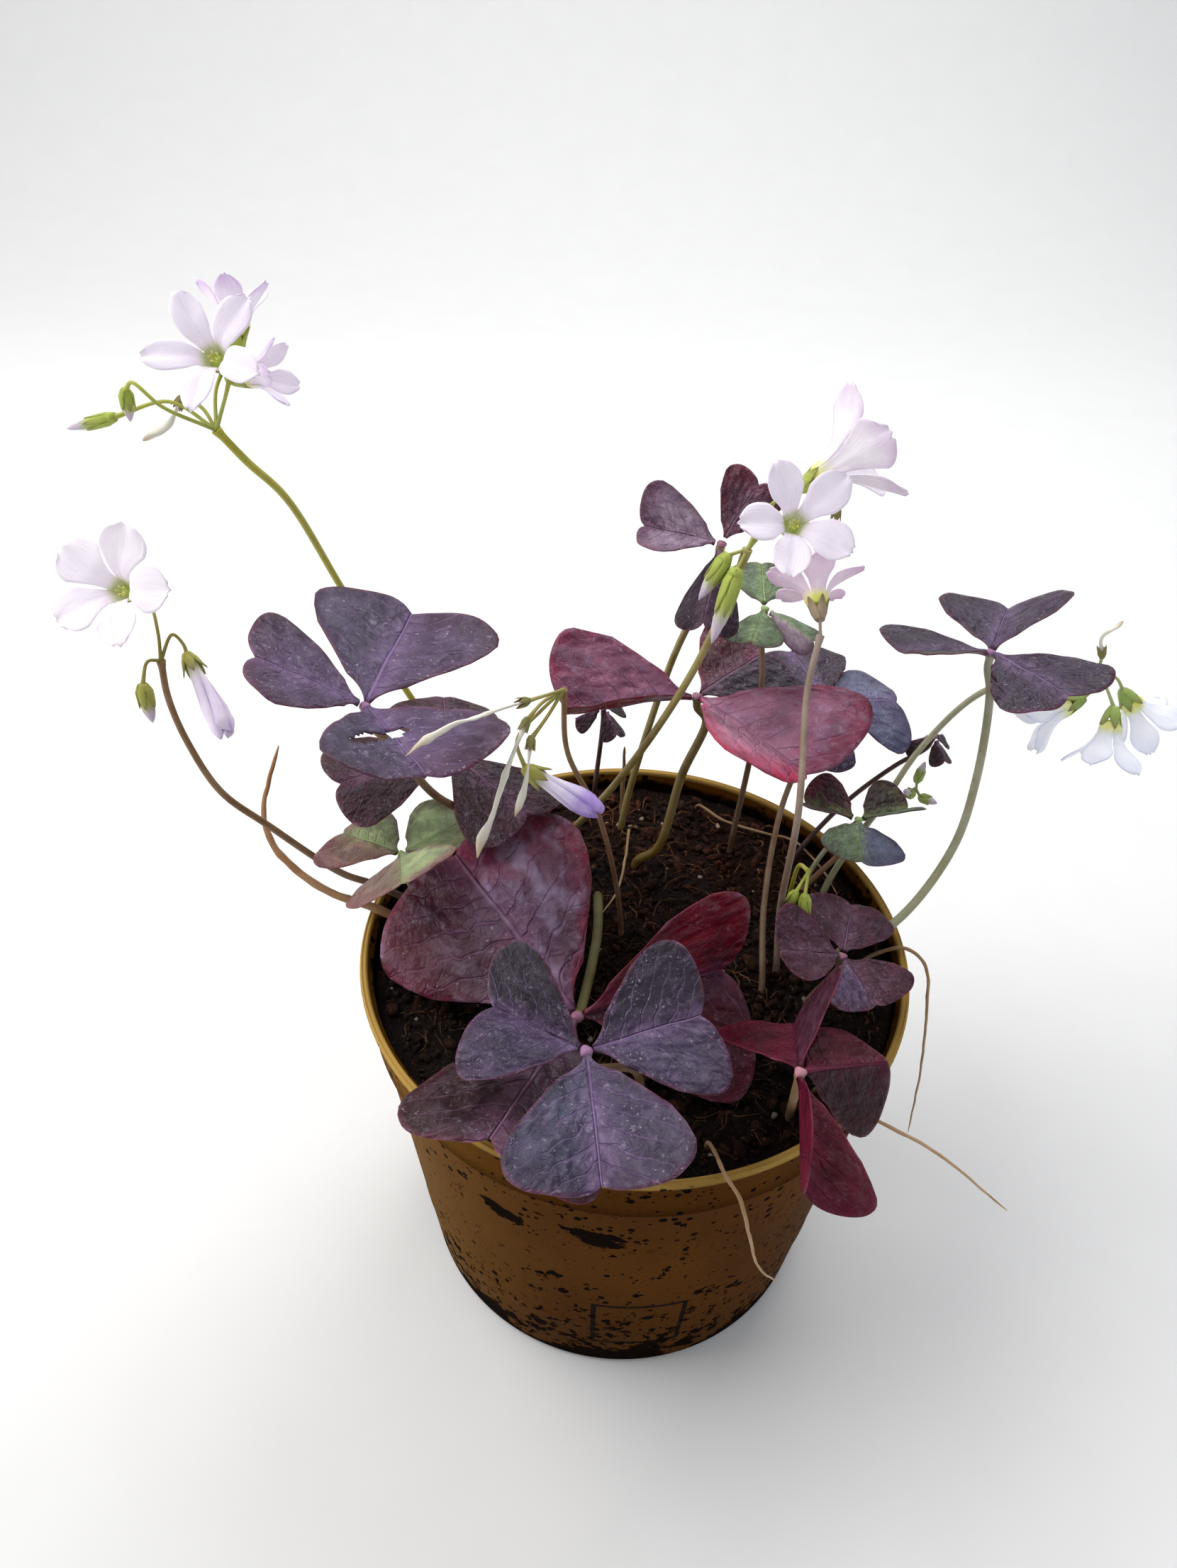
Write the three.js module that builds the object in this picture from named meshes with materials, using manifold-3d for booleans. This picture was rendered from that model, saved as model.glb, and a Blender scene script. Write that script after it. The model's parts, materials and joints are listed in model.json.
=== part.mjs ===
// A purple shamrock (Oxalis) growing in a round nursery pot.
//
// The pot is a thin-walled plastic cup with drain holes. It is filled with peat, and every stem
// stands in a plain hole in the peat. Each leaf is a petiole with three folded, notched leaflets
// that meet in one knob. Each flower stalk carries an umbel of pedicels with calyces and buds, and
// the petals of every flower are a body of their own that sits on its calyx.
//
// Millimetres, +Z up. The origin is the centre of the pot's underside.
import * as THREE from "three";
import { mergeVertices } from "three/addons/utils/BufferGeometryUtils.js";
import Module from "manifold-3d";

const wasm = await Module();
wasm.setup();

// ---- Driving dimensions ----

const POT = {
  height: 106,
  baseRadius: 53, // outside, at the underside
  shoulderRadius: 62, // outside, just below the collar
  collarRadius: 63.4,
  collarBottom: 91,
  rimRadius: 65, // the lip that rolls out at the top
  rimDepth: 2,
  wall: 1.4,
  floor: 2.2,
  segments: 32,
};
const DRAIN = { count: 6, radius: 3.5, ring: 40 };
const SOIL = { top: 100.5, roughness: 0.8, rings: 3, segments: 28 };
const SEAT = 0.3; // clearance between two pieces that touch
const STEM_FOOT = 6; // how deep a stem stands in the peat
const BLADE = 0.7; // thickness of leaflets and petals

const HUB_THICKNESS = 2.4; // where three leaflets meet
const ROOT_THICKNESS = 1;
const NECK = { drop: 8, lean: 0.12 }; // how steeply a petiole comes up to its hub
const LEAFLET = { root: 1.6, claw: 0.5, bend: 8, cup: 0.1, ripple: 0.012 };
const FACETS = { smallLeaf: 22, largeLeaf: 30 }; // leaves below these sizes need fewer facets
// Half of a leaflet's outline: [share of the half angle, reach from the hub], notch to side.
const LOBE = [
  [0, 0.9],
  [0.12, 0.96],
  [0.38, 1.02],
  [0.68, 1.04],
  [0.89, 0.95],
  [1, 0.7],
];

const PETAL = { count: 5, across: 4, width: 0.31, cup: 0.14, twist: 12, gap: 0.55 };
const THROAT = { bottom: 1.1, top: 2.2, length: 3.2 }; // the short tube the petals share
const CALYX = { foot: 0.8, cup: 1.6, length: 1.9, tooth: 3.5, toothHeight: 3, wall: 0.5 };
const BUD = { radius: 1.5, length: 8 };

const COLOURS = {
  pot: 0x8a6526,
  soil: 0x1d1410,
  slate: 0x4c4456,
  maroon: 0x4b2430,
  plum: 0x5f3c4e,
  crimson: 0x7c2540,
  green: 0x5a6a4c,
  stem: 0x77703a,
  brown: 0x73573c,
  petiole: 0x74624a,
  petal: 0xe9e0f2,
  root: 0xa58d70,
};

// ---- Solids ----

// A closed three.js geometry as a manifold solid.
function solidOf(geometry) {
  const bare = geometry.clone();
  bare.deleteAttribute("normal");
  bare.deleteAttribute("uv");
  const merged = mergeVertices(bare, 1e-4);
  return new wasm.Manifold(
    new wasm.Mesh({
      numProp: 3,
      vertProperties: new Float32Array(merged.attributes.position.array),
      triVerts: new Uint32Array(merged.index.array),
    }),
  );
}

// A manifold solid as a three.js geometry.
function geometryOf(solid) {
  const mesh = solid.getMesh();
  const geometry = new THREE.BufferGeometry();
  geometry.setAttribute("position", new THREE.BufferAttribute(mesh.vertProperties, 3));
  geometry.setIndex(new THREE.BufferAttribute(mesh.triVerts, 1));
  geometry.computeVertexNormals();
  return geometry;
}

function joined(geometries) {
  return geometries.map(solidOf).reduce((whole, piece) => whole.add(piece));
}

function piece(name, geometry, colour, roughness = 0.6) {
  const material = new THREE.MeshStandardMaterial({ color: colour, roughness, metalness: 0 });
  const mesh = new THREE.Mesh(geometry, material);
  mesh.name = name;
  return mesh;
}

const point = (coordinates) => new THREE.Vector3(...coordinates);

// A round bar of `sides` flats along a smooth curve through the points.
function bar(points, radius, sides = 6, steps = 2 * (points.length - 1)) {
  const outline = new THREE.Shape();
  for (let i = 0; i < sides; i++) {
    const angle = (2 * Math.PI * i) / sides;
    const corner = [radius * Math.cos(angle), radius * Math.sin(angle)];
    if (i === 0) outline.moveTo(...corner);
    else outline.lineTo(...corner);
  }
  const extrudePath = new THREE.CatmullRomCurve3(points, false, "centripetal");
  return new THREE.ExtrudeGeometry(outline, { steps, extrudePath, bevelEnabled: false });
}

// A closed body of thin blades around a middle surface. The middle surface is a list of points and
// a list of triangles; each point carries its own thickness. Both faces keep the same triangles.
function shell(points, triangles, thickness) {
  const surface = new THREE.BufferGeometry().setFromPoints(points);
  surface.setIndex(triangles.flat());
  surface.computeVertexNormals();
  const normals = surface.attributes.normal;
  const count = points.length;
  const positions = [];
  for (const side of [0.5, -0.5]) {
    points.forEach((at, i) => {
      const normal = new THREE.Vector3().fromBufferAttribute(normals, i);
      positions.push(...at.clone().addScaledVector(normal, side * thickness[i]));
    });
  }
  const edges = new Set(triangles.flatMap(([i, j, k]) => [`${i},${j}`, `${j},${k}`, `${k},${i}`]));
  const indices = triangles.flatMap(([i, j, k]) => [i, j, k, k + count, j + count, i + count]);
  for (const edge of edges) {
    const [from, to] = edge.split(",").map(Number);
    if (!edges.has(`${to},${from}`)) {
      indices.push(from, from + count, to + count, from, to + count, to);
    }
  }
  const geometry = new THREE.BufferGeometry();
  geometry.setAttribute("position", new THREE.Float32BufferAttribute(positions, 3));
  geometry.setIndex(indices);
  return geometry;
}

// Triangles that join a row of three points to a wider row of points beside it.
function fan(root, row) {
  const middle = (row.length - 1) / 2;
  const triangles = [];
  for (let i = 0; i < middle; i++) triangles.push([root[0], row[i], row[i + 1]]);
  triangles.push([root[0], row[middle], root[1]], [root[1], row[middle], root[2]]);
  for (let i = middle; i < row.length - 1; i++) triangles.push([root[2], row[i], row[i + 1]]);
  return triangles;
}

// Triangles between two rows of as many points, mirrored about the middle.
function band(inner, outer) {
  return inner.slice(1).flatMap((after, i) => {
    const [here, far, farNext] = [inner[i], outer[i], outer[i + 1]];
    return i < (inner.length - 1) / 2
      ? [[here, far, farNext], [here, farNext, after]]
      : [[here, far, after], [after, far, farNext]];
  });
}

// ---- Pot and peat ----

function lathed(profile, segments) {
  const points = profile.map(([radius, height]) => new THREE.Vector2(radius, height));
  return new THREE.LatheGeometry(points, segments).rotateX(Math.PI / 2);
}

const POT_INSIDE = {
  bottom: POT.baseRadius - POT.wall,
  shoulder: POT.shoulderRadius - POT.wall,
  collar: POT.collarRadius - POT.wall,
};

function pot() {
  const lip = POT.height - POT.rimDepth;
  const profile = [
    [0, 0],
    [POT.baseRadius - 1.2, 0],
    [POT.baseRadius, 1.2],
    [POT.shoulderRadius, POT.collarBottom - 0.8],
    [POT.collarRadius - 0.3, POT.collarBottom],
    [POT.collarRadius, lip],
    [POT.rimRadius, lip + 0.2],
    [POT.rimRadius, POT.height - 0.3],
    [POT.rimRadius - 0.4, POT.height],
    [POT_INSIDE.collar + 0.3, POT.height],
    [POT_INSIDE.collar, POT.collarBottom + 0.6],
    [POT_INSIDE.shoulder, POT.collarBottom - 1],
    [POT_INSIDE.bottom, POT.floor],
    [0, POT.floor],
  ];
  let solid = solidOf(lathed(profile, POT.segments));
  for (let i = 0; i < DRAIN.count; i++) {
    const angle = (2 * Math.PI * (i + 0.5)) / DRAIN.count;
    const hole = new THREE.CylinderGeometry(DRAIN.radius, DRAIN.radius, 4 * POT.floor, 8);
    hole.rotateX(Math.PI / 2);
    hole.translate(DRAIN.ring * Math.cos(angle), DRAIN.ring * Math.sin(angle), 0);
    solid = solid.subtract(solidOf(hole));
  }
  return piece("pot", geometryOf(solid), COLOURS.pot, 0.55);
}

// The peat's uneven top: a few crossed waves, level at the pot's wall.
function soilHeight(x, y) {
  const radius = Math.hypot(x, y) / POT_INSIDE.collar;
  const waves = Math.sin(0.21 * x + 1.3) * Math.cos(0.17 * y) + 0.6 * Math.sin(0.11 * (x + 2 * y));
  return SOIL.top + SOIL.roughness * waves * (1 - radius ** 4);
}

function soil(stems) {
  const inner = POT_INSIDE.bottom - SEAT;
  const profile = [
    [0, POT.floor + SEAT],
    [inner, POT.floor + SEAT],
    [POT_INSIDE.shoulder - SEAT, POT.collarBottom - 1],
    [POT_INSIDE.collar - SEAT, POT.collarBottom + 0.9],
    [POT_INSIDE.collar - SEAT, SOIL.top],
  ];
  for (let i = SOIL.rings - 1; i >= 0; i--) {
    profile.push([((POT_INSIDE.collar - SEAT) * i) / SOIL.rings, SOIL.top]);
  }
  const body = lathed(profile, SOIL.segments);
  const position = body.attributes.position;
  for (let i = 0; i < position.count; i++) {
    if (position.getZ(i) > SOIL.top - 0.01) {
      position.setZ(i, soilHeight(position.getX(i), position.getY(i)));
    }
  }
  let solid = solidOf(body);
  for (const { foot, radius } of stems) {
    const flats = 6;
    const wide = (radius + SEAT + 0.25) / Math.cos(Math.PI / flats);
    const hole = new THREE.CylinderGeometry(wide, wide, STEM_FOOT + 6, flats);
    hole.rotateX(Math.PI / 2);
    hole.translate(foot[0], foot[1], SOIL.top - STEM_FOOT - SEAT + (STEM_FOOT + 6) / 2);
    solid = solid.subtract(solidOf(hole));
  }
  return piece("soil", geometryOf(solid), COLOURS.soil, 0.95);
}

// ---- Leaves ----

// Reach of a leaflet's edge from the hub, by linear share of the half angle.
function lobeReach(share) {
  const i = Math.max(0, LOBE.findIndex(([at]) => at >= Math.min(share, 1)) - 1);
  const slope = (k) => {
    const [before, after] = [LOBE[Math.max(k - 1, 0)], LOBE[Math.min(k + 1, LOBE.length - 1)]];
    return (after[1] - before[1]) / (after[0] - before[0]);
  };
  const [from, to] = [LOBE[i], LOBE[i + 1]];
  const gap = to[0] - from[0];
  const u = (share - from[0]) / gap;
  return (
    (2 * u ** 3 - 3 * u ** 2 + 1) * from[1] +
    (u ** 3 - 2 * u ** 2 + u) * slope(i) * gap +
    (-2 * u ** 3 + 3 * u ** 2) * to[1] +
    (u ** 3 - u ** 2) * slope(i + 1) * gap
  );
}

// A point of a leaflet that lies along +X: s across, t outward. The two lobes fold down along the
// midrib by their own angles, and the whole leaflet bends down a little towards its tip.
function leafletPoint(size, spread, foldRight, foldLeft, s, t) {
  const reach = LEAFLET.root + (size * lobeReach(Math.abs(s)) - LEAFLET.root) * t;
  const narrowing = THREE.MathUtils.lerp(LEAFLET.claw, 1, Math.min(1, 3 * t));
  const angle = THREE.MathUtils.degToRad(spread) * s * narrowing;
  const x = reach * Math.cos(angle);
  const y = reach * Math.sin(angle);
  const fold = THREE.MathUtils.degToRad(s < 0 ? foldRight : foldLeft);
  const droop = fold + (LEAFLET.cup * Math.abs(y)) / size;
  const wave = LEAFLET.ripple * size * t * t * Math.sin(9 * s + size);
  const down = -Math.abs(y) * Math.sin(droop) + wave;
  const bend = THREE.MathUtils.degToRad(LEAFLET.bend) / size;
  return new THREE.Vector3(
    Math.sin(bend * x) / bend + down * Math.sin(bend * x),
    y * Math.cos(droop),
    -(1 - Math.cos(bend * x)) / bend + down * Math.cos(bend * x),
  );
}

// Three leaflets that grow out of one swollen hub.
function blades(leaf) {
  const across = leaf.size < FACETS.smallLeaf ? 6 : 8;
  const along = leaf.size < FACETS.largeLeaf ? 2 : 3;
  const points = [point(leaf.hub)];
  const thickness = [HUB_THICKNESS];
  const triangles = [];
  const add = (at, thick) => {
    thickness.push(thick);
    return points.push(at) - 1;
  };
  const roots = leaf.leaflets.map(([turn, rise, foldRight, foldLeft, share, halfAngle]) => {
    const size = leaf.size * share;
    const spread = halfAngle ?? leaf.spread;
    const row = (count, t) => {
      return Array.from({ length: count + 1 }, (_, i) => {
        const at = leafletPoint(size, spread, foldRight, foldLeft, (2 * i) / count - 1, t);
        at.applyAxisAngle(new THREE.Vector3(0, 1, 0), -THREE.MathUtils.degToRad(rise));
        at.applyAxisAngle(new THREE.Vector3(0, 0, 1), THREE.MathUtils.degToRad(turn));
        return add(at.add(points[0]), t === 0 ? ROOT_THICKNESS : BLADE);
      });
    };
    const root = row(2, 0);
    let inner = row(across, 1 / along);
    triangles.push([0, root[0], root[1]], [0, root[1], root[2]], ...fan(root, inner));
    for (let j = 2; j <= along; j++) {
      const outer = row(across, j / along);
      triangles.push(...band(inner, outer));
      inner = outer;
    }
    return { turn: (turn + 360) % 360, root };
  });
  roots.sort((one, other) => one.turn - other.turn);
  roots.forEach(({ root }, i) => {
    triangles.push([0, root[2], roots[(i + 1) % roots.length].root[0]]);
  });
  const body = shell(points, triangles, thickness);
  return piece(`${leaf.name}_blades`, body, COLOURS[leaf.colour], 0.55);
}

// The points of a stem that stands upright in the peat and then passes through `via`.
function stemPoints(foot, via) {
  const bottom = new THREE.Vector3(...foot, SOIL.top - STEM_FOOT);
  const collar = new THREE.Vector3(...foot, SOIL.top + 1.5);
  return [bottom, collar, ...via.map(point)];
}

// A leaf's petiole arrives from below and stops just short of the hub.
function petiole(leaf) {
  const hub = point(leaf.hub);
  const points = stemPoints(leaf.foot, leaf.via ?? []);
  const neck = new THREE.Vector3().subVectors(points.at(-1), hub).setZ(0).multiplyScalar(NECK.lean);
  const drop = Math.min(NECK.drop, 0.4 * (hub.z - points.at(-1).z));
  points.push(hub.clone().add(neck).setZ(hub.z - drop));
  const arriving = hub.clone().sub(points.at(-1)).normalize();
  points.push(hub.clone().addScaledVector(arriving, -HUB_THICKNESS / 2 - 2.2 * SEAT));
  return piece(`${leaf.name}_petiole`, bar(points, leaf.stem, 5), COLOURS[leaf.stemColour], 0.6);
}

// Leaflets: [turn, rise, fold of the right lobe, fold of the left lobe, share of the leaf's size],
// and the half angle where it isn't the leaf's own. Turn runs from +X towards +Y, a positive fold
// hangs down, and all angles are in degrees.
const LEAVES = [
  {
    name: "leaf_front",
    hub: [-11, -53, 133],
    foot: [1, -44],
    via: [[-1, -46, 118]],
    size: 32,
    spread: 46,
    stem: 1,
    colour: "slate",
    stemColour: "petiole",
    leaflets: [
      [149, -1, -70, 5, 0.76, 50],
      [24, 1, 5, -40, 0.85, 45],
      [277, 3, -15, -22, 0.97, 41],
    ],
  },
  {
    name: "leaf_large",
    hub: [-13, -33, 118],
    foot: [-9, 18],
    via: [[-9, 0, 107]],
    size: 44,
    spread: 43,
    stem: 1.3,
    colour: "maroon",
    stemColour: "stem",
    leaflets: [
      [130, 18, 0, 42, 1.18],
      [246, 14, 12, 14, 0.96, 38],
      [28, -2, 26, -96, 0.92, 52],
    ],
  },
  {
    name: "leaf_green",
    hub: [-55, 6, 126],
    foot: [-44, -2],
    size: 20,
    spread: 46,
    stem: 0.9,
    colour: "green",
    stemColour: "petiole",
    leaflets: [
      [45, 0, -15, 0, 1.05],
      [150, -5, 0, -5, 1],
      [280, 28, 20, -30, 1.1],
    ],
  },
  {
    name: "leaf_left",
    hub: [-59, 4, 170],
    foot: [-29, 17],
    via: [[-31, 18, 122], [-47, 13, 138], [-55, 7, 158]],
    size: 33,
    spread: 41,
    stem: 1.05,
    colour: "slate",
    stemColour: "petiole",
    leaflets: [
      [188, 36, -9, -15, 0.81, 45],
      [81, 6, 2, -18, 1.14, 41],
      [302, 10, -32, -11, 1.03, 43],
    ],
  },
  {
    name: "leaf_shaded",
    hub: [-46, 29, 138],
    foot: [-36, 25],
    via: [[-37, 27, 122]],
    size: 27,
    spread: 40,
    stem: 0.9,
    colour: "maroon",
    stemColour: "brown",
    leaflets: [
      [205, 2, 0, 0, 1.1],
      [100, 0, 20, 5, 1],
      [320, -5, 0, 10, 1.07],
    ],
  },
  {
    name: "leaf_middle",
    hub: [13, 39, 150],
    foot: [1, 31],
    via: [[6, 30, 108], [11, 36, 128], [16, 40, 142]],
    size: 35,
    spread: 46,
    stem: 1.2,
    colour: "plum",
    stemColour: "stem",
    leaflets: [
      [198, 5, -48, -46, 1, 41],
      [310, 2, -36, -24, 1.14],
      [45, 6, 20, -18, 0.8, 42],
    ],
  },
  {
    name: "leaf_olive",
    hub: [27, 44, 172],
    foot: [26, 38],
    via: [[28, 39, 135], [28, 39.5, 155]],
    size: 14,
    spread: 40,
    stem: 0.8,
    colour: "green",
    stemColour: "petiole",
    leaflets: [
      [91, 25, 15, 12, 1.03],
      [252, -2, 0, -10, 1.02, 35],
      [332, -16, -5, 15, 1.05],
    ],
  },
  {
    name: "leaf_top",
    hub: [15, 41, 190],
    foot: [-3, 45],
    via: [[-1, 47, 115], [7, 52, 150]],
    size: 21,
    spread: 46,
    stem: 1,
    colour: "plum",
    stemColour: "stem",
    leaflets: [
      [178, 14, -70, -5, 0.92, 39],
      [45, 50, 30, -30, 0.8, 32],
      [254, -42, 36, 40, 0.95, 34],
    ],
  },
  {
    name: "leaf_blue",
    hub: [47, 54, 140],
    foot: [30, -10],
    via: [[31, 8, 112], [36, 30, 124]],
    size: 25,
    spread: 46,
    stem: 0.8,
    colour: "slate",
    stemColour: "petiole",
    leaflets: [
      [18, -10, 20, 0, 1],
      [108, 5, 5, 10, 0.95],
      [250, -20, 10, 10, 0.8],
    ],
  },
  {
    name: "leaf_right",
    hub: [77, 32, 170],
    foot: [50, 2],
    via: [[62, 4, 111], [77, 20, 121], [80, 26, 138], [79, 31, 160]],
    size: 26,
    spread: 40,
    stem: 1.1,
    colour: "slate",
    stemColour: "petiole",
    leaflets: [
      [195, 11, 4, -36, 0.93, 46],
      [66, 0, -38, -4, 1, 45],
      [298, 11, -2, -8, 0.98, 43],
    ],
  },
  {
    name: "leaf_small",
    hub: [55, 28, 122],
    foot: [43, 22],
    size: 15,
    spread: 50,
    stem: 0.8,
    colour: "green",
    stemColour: "brown",
    leaflets: [
      [155, 2, -25, -40, 1.02],
      [20, 3, -45, -15, 1.04],
      [265, 1, -20, -5, 1.06],
    ],
  },
  {
    name: "leaf_low",
    hub: [47, -10, 114],
    foot: [40, -14],
    size: 17,
    spread: 46,
    stem: 0.8,
    colour: "plum",
    stemColour: "petiole",
    leaflets: [
      [190, 20, -35, -15, 1.03],
      [75, 7, 10, -10, 1.05],
      [290, 6, -15, -25, 1],
    ],
  },
  {
    name: "leaf_crimson",
    hub: [30, -54, 130],
    foot: [33, -44],
    size: 29,
    spread: 42,
    stem: 1,
    colour: "crimson",
    stemColour: "brown",
    leaflets: [
      [82, -27, -65, 8, 0.98],
      [27, -20, 60, 15, 0.95],
      [264, 2, -92, 20, 0.95],
    ],
  },
  {
    name: "leaf_young_back",
    hub: [-9, 56, 133],
    foot: [-11, 52],
    size: 9,
    spread: 36,
    stem: 0.7,
    colour: "maroon",
    stemColour: "brown",
    leaflets: [
      [180, -25, 35, 35, 1],
      [60, -20, 35, 35, 1],
      [300, -25, 35, 35, 1],
    ],
  },
  {
    name: "leaf_young_right",
    hub: [76, 50, 132],
    foot: [43, 35],
    via: [[50, 40, 110], [58, 45, 116], [68, 49, 123]],
    size: 8,
    spread: 36,
    stem: 0.7,
    colour: "maroon",
    stemColour: "brown",
    leaflets: [
      [170, -25, 35, 35, 1],
      [50, -25, 35, 35, 1],
      [290, -20, 35, 35, 1],
    ],
  },
];

// ---- Flowers ----

// Turns geometry made along +Z so that it points along `axis` from `base`.
function aimed(geometry, base, axis) {
  const turn = new THREE.Quaternion().setFromUnitVectors(
    new THREE.Vector3(0, 0, 1),
    point(axis).normalize(),
  );
  return geometry.applyQuaternion(turn).translate(...base);
}

// Half the width of a petal: it swells from its share of the throat and ends in a round tip.
function petalHalfWidth(length, open, t) {
  const root = THROAT.top * Math.tan(Math.PI / PETAL.count);
  const width = length * PETAL.width * (0.75 + open / 320);
  const widest = 0.66;
  if (t < widest) return root + (width - root) * Math.sin(((Math.PI / 2) * t) / widest);
  return width * Math.sqrt(1 - ((t - widest) / 0.4) ** 2);
}

// A point of a petal: it leaves the throat along the axis and flares out by `open` degrees.
function petalPoint({ length, open }, s, t) {
  const steps = 8;
  let radius = THROAT.top;
  let height = THROAT.length;
  let flare = 0;
  for (let i = 0; i < steps; i++) {
    const at = (t * (i + 0.5)) / steps;
    flare = THREE.MathUtils.degToRad(open) * THREE.MathUtils.smoothstep(at, -0.15, 0.6);
    radius += (Math.sin(flare) * length * t) / steps;
    height += (Math.cos(flare) * length * t) / steps;
  }
  const room = radius * Math.tan(Math.PI / PETAL.count) - PETAL.gap * Math.min(1, 3 * t);
  const y = s * Math.min(petalHalfWidth(length, open, t), room);
  const lift = (PETAL.cup * y * s + y * Math.sin(THREE.MathUtils.degToRad(PETAL.twist))) * t;
  return new THREE.Vector3(radius - lift * Math.cos(flare), y, height + lift * Math.sin(flare));
}

// Five petals that grow out of one short tube.
function openPetals(head) {
  const points = [new THREE.Vector3(0, 0, BLADE / 2)];
  const triangles = [];
  const flats = 2 * PETAL.count;
  const up = new THREE.Vector3(0, 0, 1);
  const ring = (radius, height) => {
    return Array.from({ length: flats }, (_, i) => {
      const at = new THREE.Vector3(radius, 0, height);
      return points.push(at.applyAxisAngle(up, (2 * Math.PI * i) / flats)) - 1;
    });
  };
  const bottom = ring(THROAT.bottom, BLADE / 2);
  const top = ring(THROAT.top, THROAT.length);
  for (let i = 0; i < flats; i++) {
    const next = (i + 1) % flats;
    triangles.push([0, bottom[i], bottom[next]]);
    triangles.push([bottom[i], top[i], top[next]], [bottom[i], top[next], bottom[next]]);
  }
  for (let k = 0; k < PETAL.count; k++) {
    const turn = (2 * Math.PI * (2 * k + 1)) / flats;
    const root = [2 * k, 2 * k + 1, 2 * k + 2].map((i) => top[i % flats]);
    const row = (t) => {
      return Array.from({ length: PETAL.across + 1 }, (_, i) => {
        const at = petalPoint(head, (2 * i) / PETAL.across - 1, t);
        return points.push(at.applyAxisAngle(up, turn)) - 1;
      });
    };
    const along = head.open > 60 ? 3 : 2;
    let inner = row(1 / along);
    triangles.push(...fan(root, inner));
    for (let j = 2; j <= along; j++) {
      const outer = row(j / along);
      triangles.push(...band(inner, outer));
      inner = outer;
    }
  }
  return shell(points, triangles, points.map(() => BLADE));
}

// A flower furled shut: five petals wound round each other into a fluted spindle.
function furledPetals({ length }) {
  const flats = 2 * PETAL.count;
  const points = [new THREE.Vector3(0, 0, 0)];
  const triangles = [];
  const profile = [
    [THROAT.bottom, 0],
    [1.7, 0.3],
    [2.7, 0.68],
    [2, 0.92],
  ];
  const rings = profile.map(([radius, height]) => {
    return Array.from({ length: flats }, (_, i) => {
      const flute = i % 2 === 0 ? 1 : 1 - 0.35 * Math.min(1, 3 * height);
      const angle = (2 * Math.PI * i) / flats + 0.9 * height;
      const [x, y] = [radius * flute * Math.cos(angle), radius * flute * Math.sin(angle)];
      return points.push(new THREE.Vector3(x, y, length * height)) - 1;
    });
  });
  const tip = points.push(new THREE.Vector3(0, 0, length)) - 1;
  for (let i = 0; i < flats; i++) {
    const next = (i + 1) % flats;
    triangles.push([0, rings[0][next], rings[0][i]], [tip, rings.at(-1)[i], rings.at(-1)[next]]);
    for (let j = 1; j < rings.length; j++) {
      const [low, high] = [rings[j - 1], rings[j]];
      triangles.push([low[i], low[next], high[next]], [low[i], high[next], high[i]]);
    }
  }
  return new THREE.BufferGeometry().setFromPoints(points).setIndex(triangles.flat());
}

function petals(name, head) {
  const flower = head.open > 0 ? openPetals(head) : furledPetals(head);
  flower.rotateZ(THREE.MathUtils.degToRad(head.turn));
  return piece(name, aimed(flower, head.at, head.axis), COLOURS.petal, 0.5);
}

// The green cup under a flower: its floor is one seat below the petals, and its rim runs up into
// five pointed sepals that stand around the throat.
function calyx({ at, axis }) {
  const profile = [
    [0, -CALYX.length],
    [CALYX.foot, -CALYX.length],
    [CALYX.cup, -SEAT],
    [CALYX.tooth, CALYX.toothHeight],
    [CALYX.tooth - CALYX.wall, CALYX.toothHeight - 0.2],
    [CALYX.cup - 0.3, -SEAT],
    [0, -SEAT],
  ];
  const crown = lathed(profile, 2 * PETAL.count);
  const position = crown.attributes.position;
  for (let i = 0; i < position.count; i++) {
    const column = Math.floor(i / profile.length);
    if (column % 2 === 1 && position.getZ(i) > 1) {
      const outer = position.getZ(i) > CALYX.toothHeight - 0.1;
      const [from, to] = outer ? [CALYX.tooth, 1.85] : [CALYX.tooth - CALYX.wall, 1.6];
      const shrink = to / from;
      position.setXYZ(i, position.getX(i) * shrink, position.getY(i) * shrink, outer ? 0.6 : 0.5);
    }
  }
  return [aimed(crown, at, axis)];
}

// A closed bud: a spindle that starts a little inside the pedicel's end.
function bud({ at, axis, length = BUD.length, radius = BUD.radius }) {
  const profile = [
    [0, -0.6],
    [radius * 0.7, 0.5],
    [radius, length * 0.35],
    [radius * 0.75, length * 0.7],
    [0, length],
  ];
  return aimed(lathed(profile, 6), at, axis);
}

// A withered flower: a dried calyx with a limp twist of petals through the given points.
function withered({ at, limp, radius = 0.9 }) {
  return [
    new THREE.SphereGeometry(radius * 1.3, 5, 4).translate(...at),
    bar([point(at), ...limp.map(point)], radius, 4),
  ];
}

const HEADS = {
  bloom: calyx,
  bud: (head) => [bud(head)],
  withered,
};

// A pedicel from the umbel's hub to just inside its head.
function pedicel(hub, head, radius = 0.5) {
  const end = point(head.at);
  if (head.kind === "bloom") end.addScaledVector(point(head.axis).normalize(), 0.5 - CALYX.length);
  const points = [point(hub), ...(head.via ?? []).map(point), end];
  return bar(points, radius, 4);
}

function stalk(plant) {
  const points = stemPoints(plant.foot, plant.via);
  const hub = plant.via.at(-1);
  const parts = [
    bar(points, plant.stem, 5),
    new THREE.SphereGeometry(plant.stem + 0.4, 6, 4).translate(...hub),
  ];
  for (const head of plant.heads) {
    parts.push(pedicel(hub, head), ...HEADS[head.kind](head));
  }
  return piece(`${plant.name}_stalk`, geometryOf(joined(parts)), COLOURS[plant.colour], 0.6);
}

function blooms(plant) {
  return plant.heads
    .filter((head) => head.kind === "bloom")
    .map((head) => petals(`${plant.name}_petals_${head.name}`, head));
}

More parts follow.
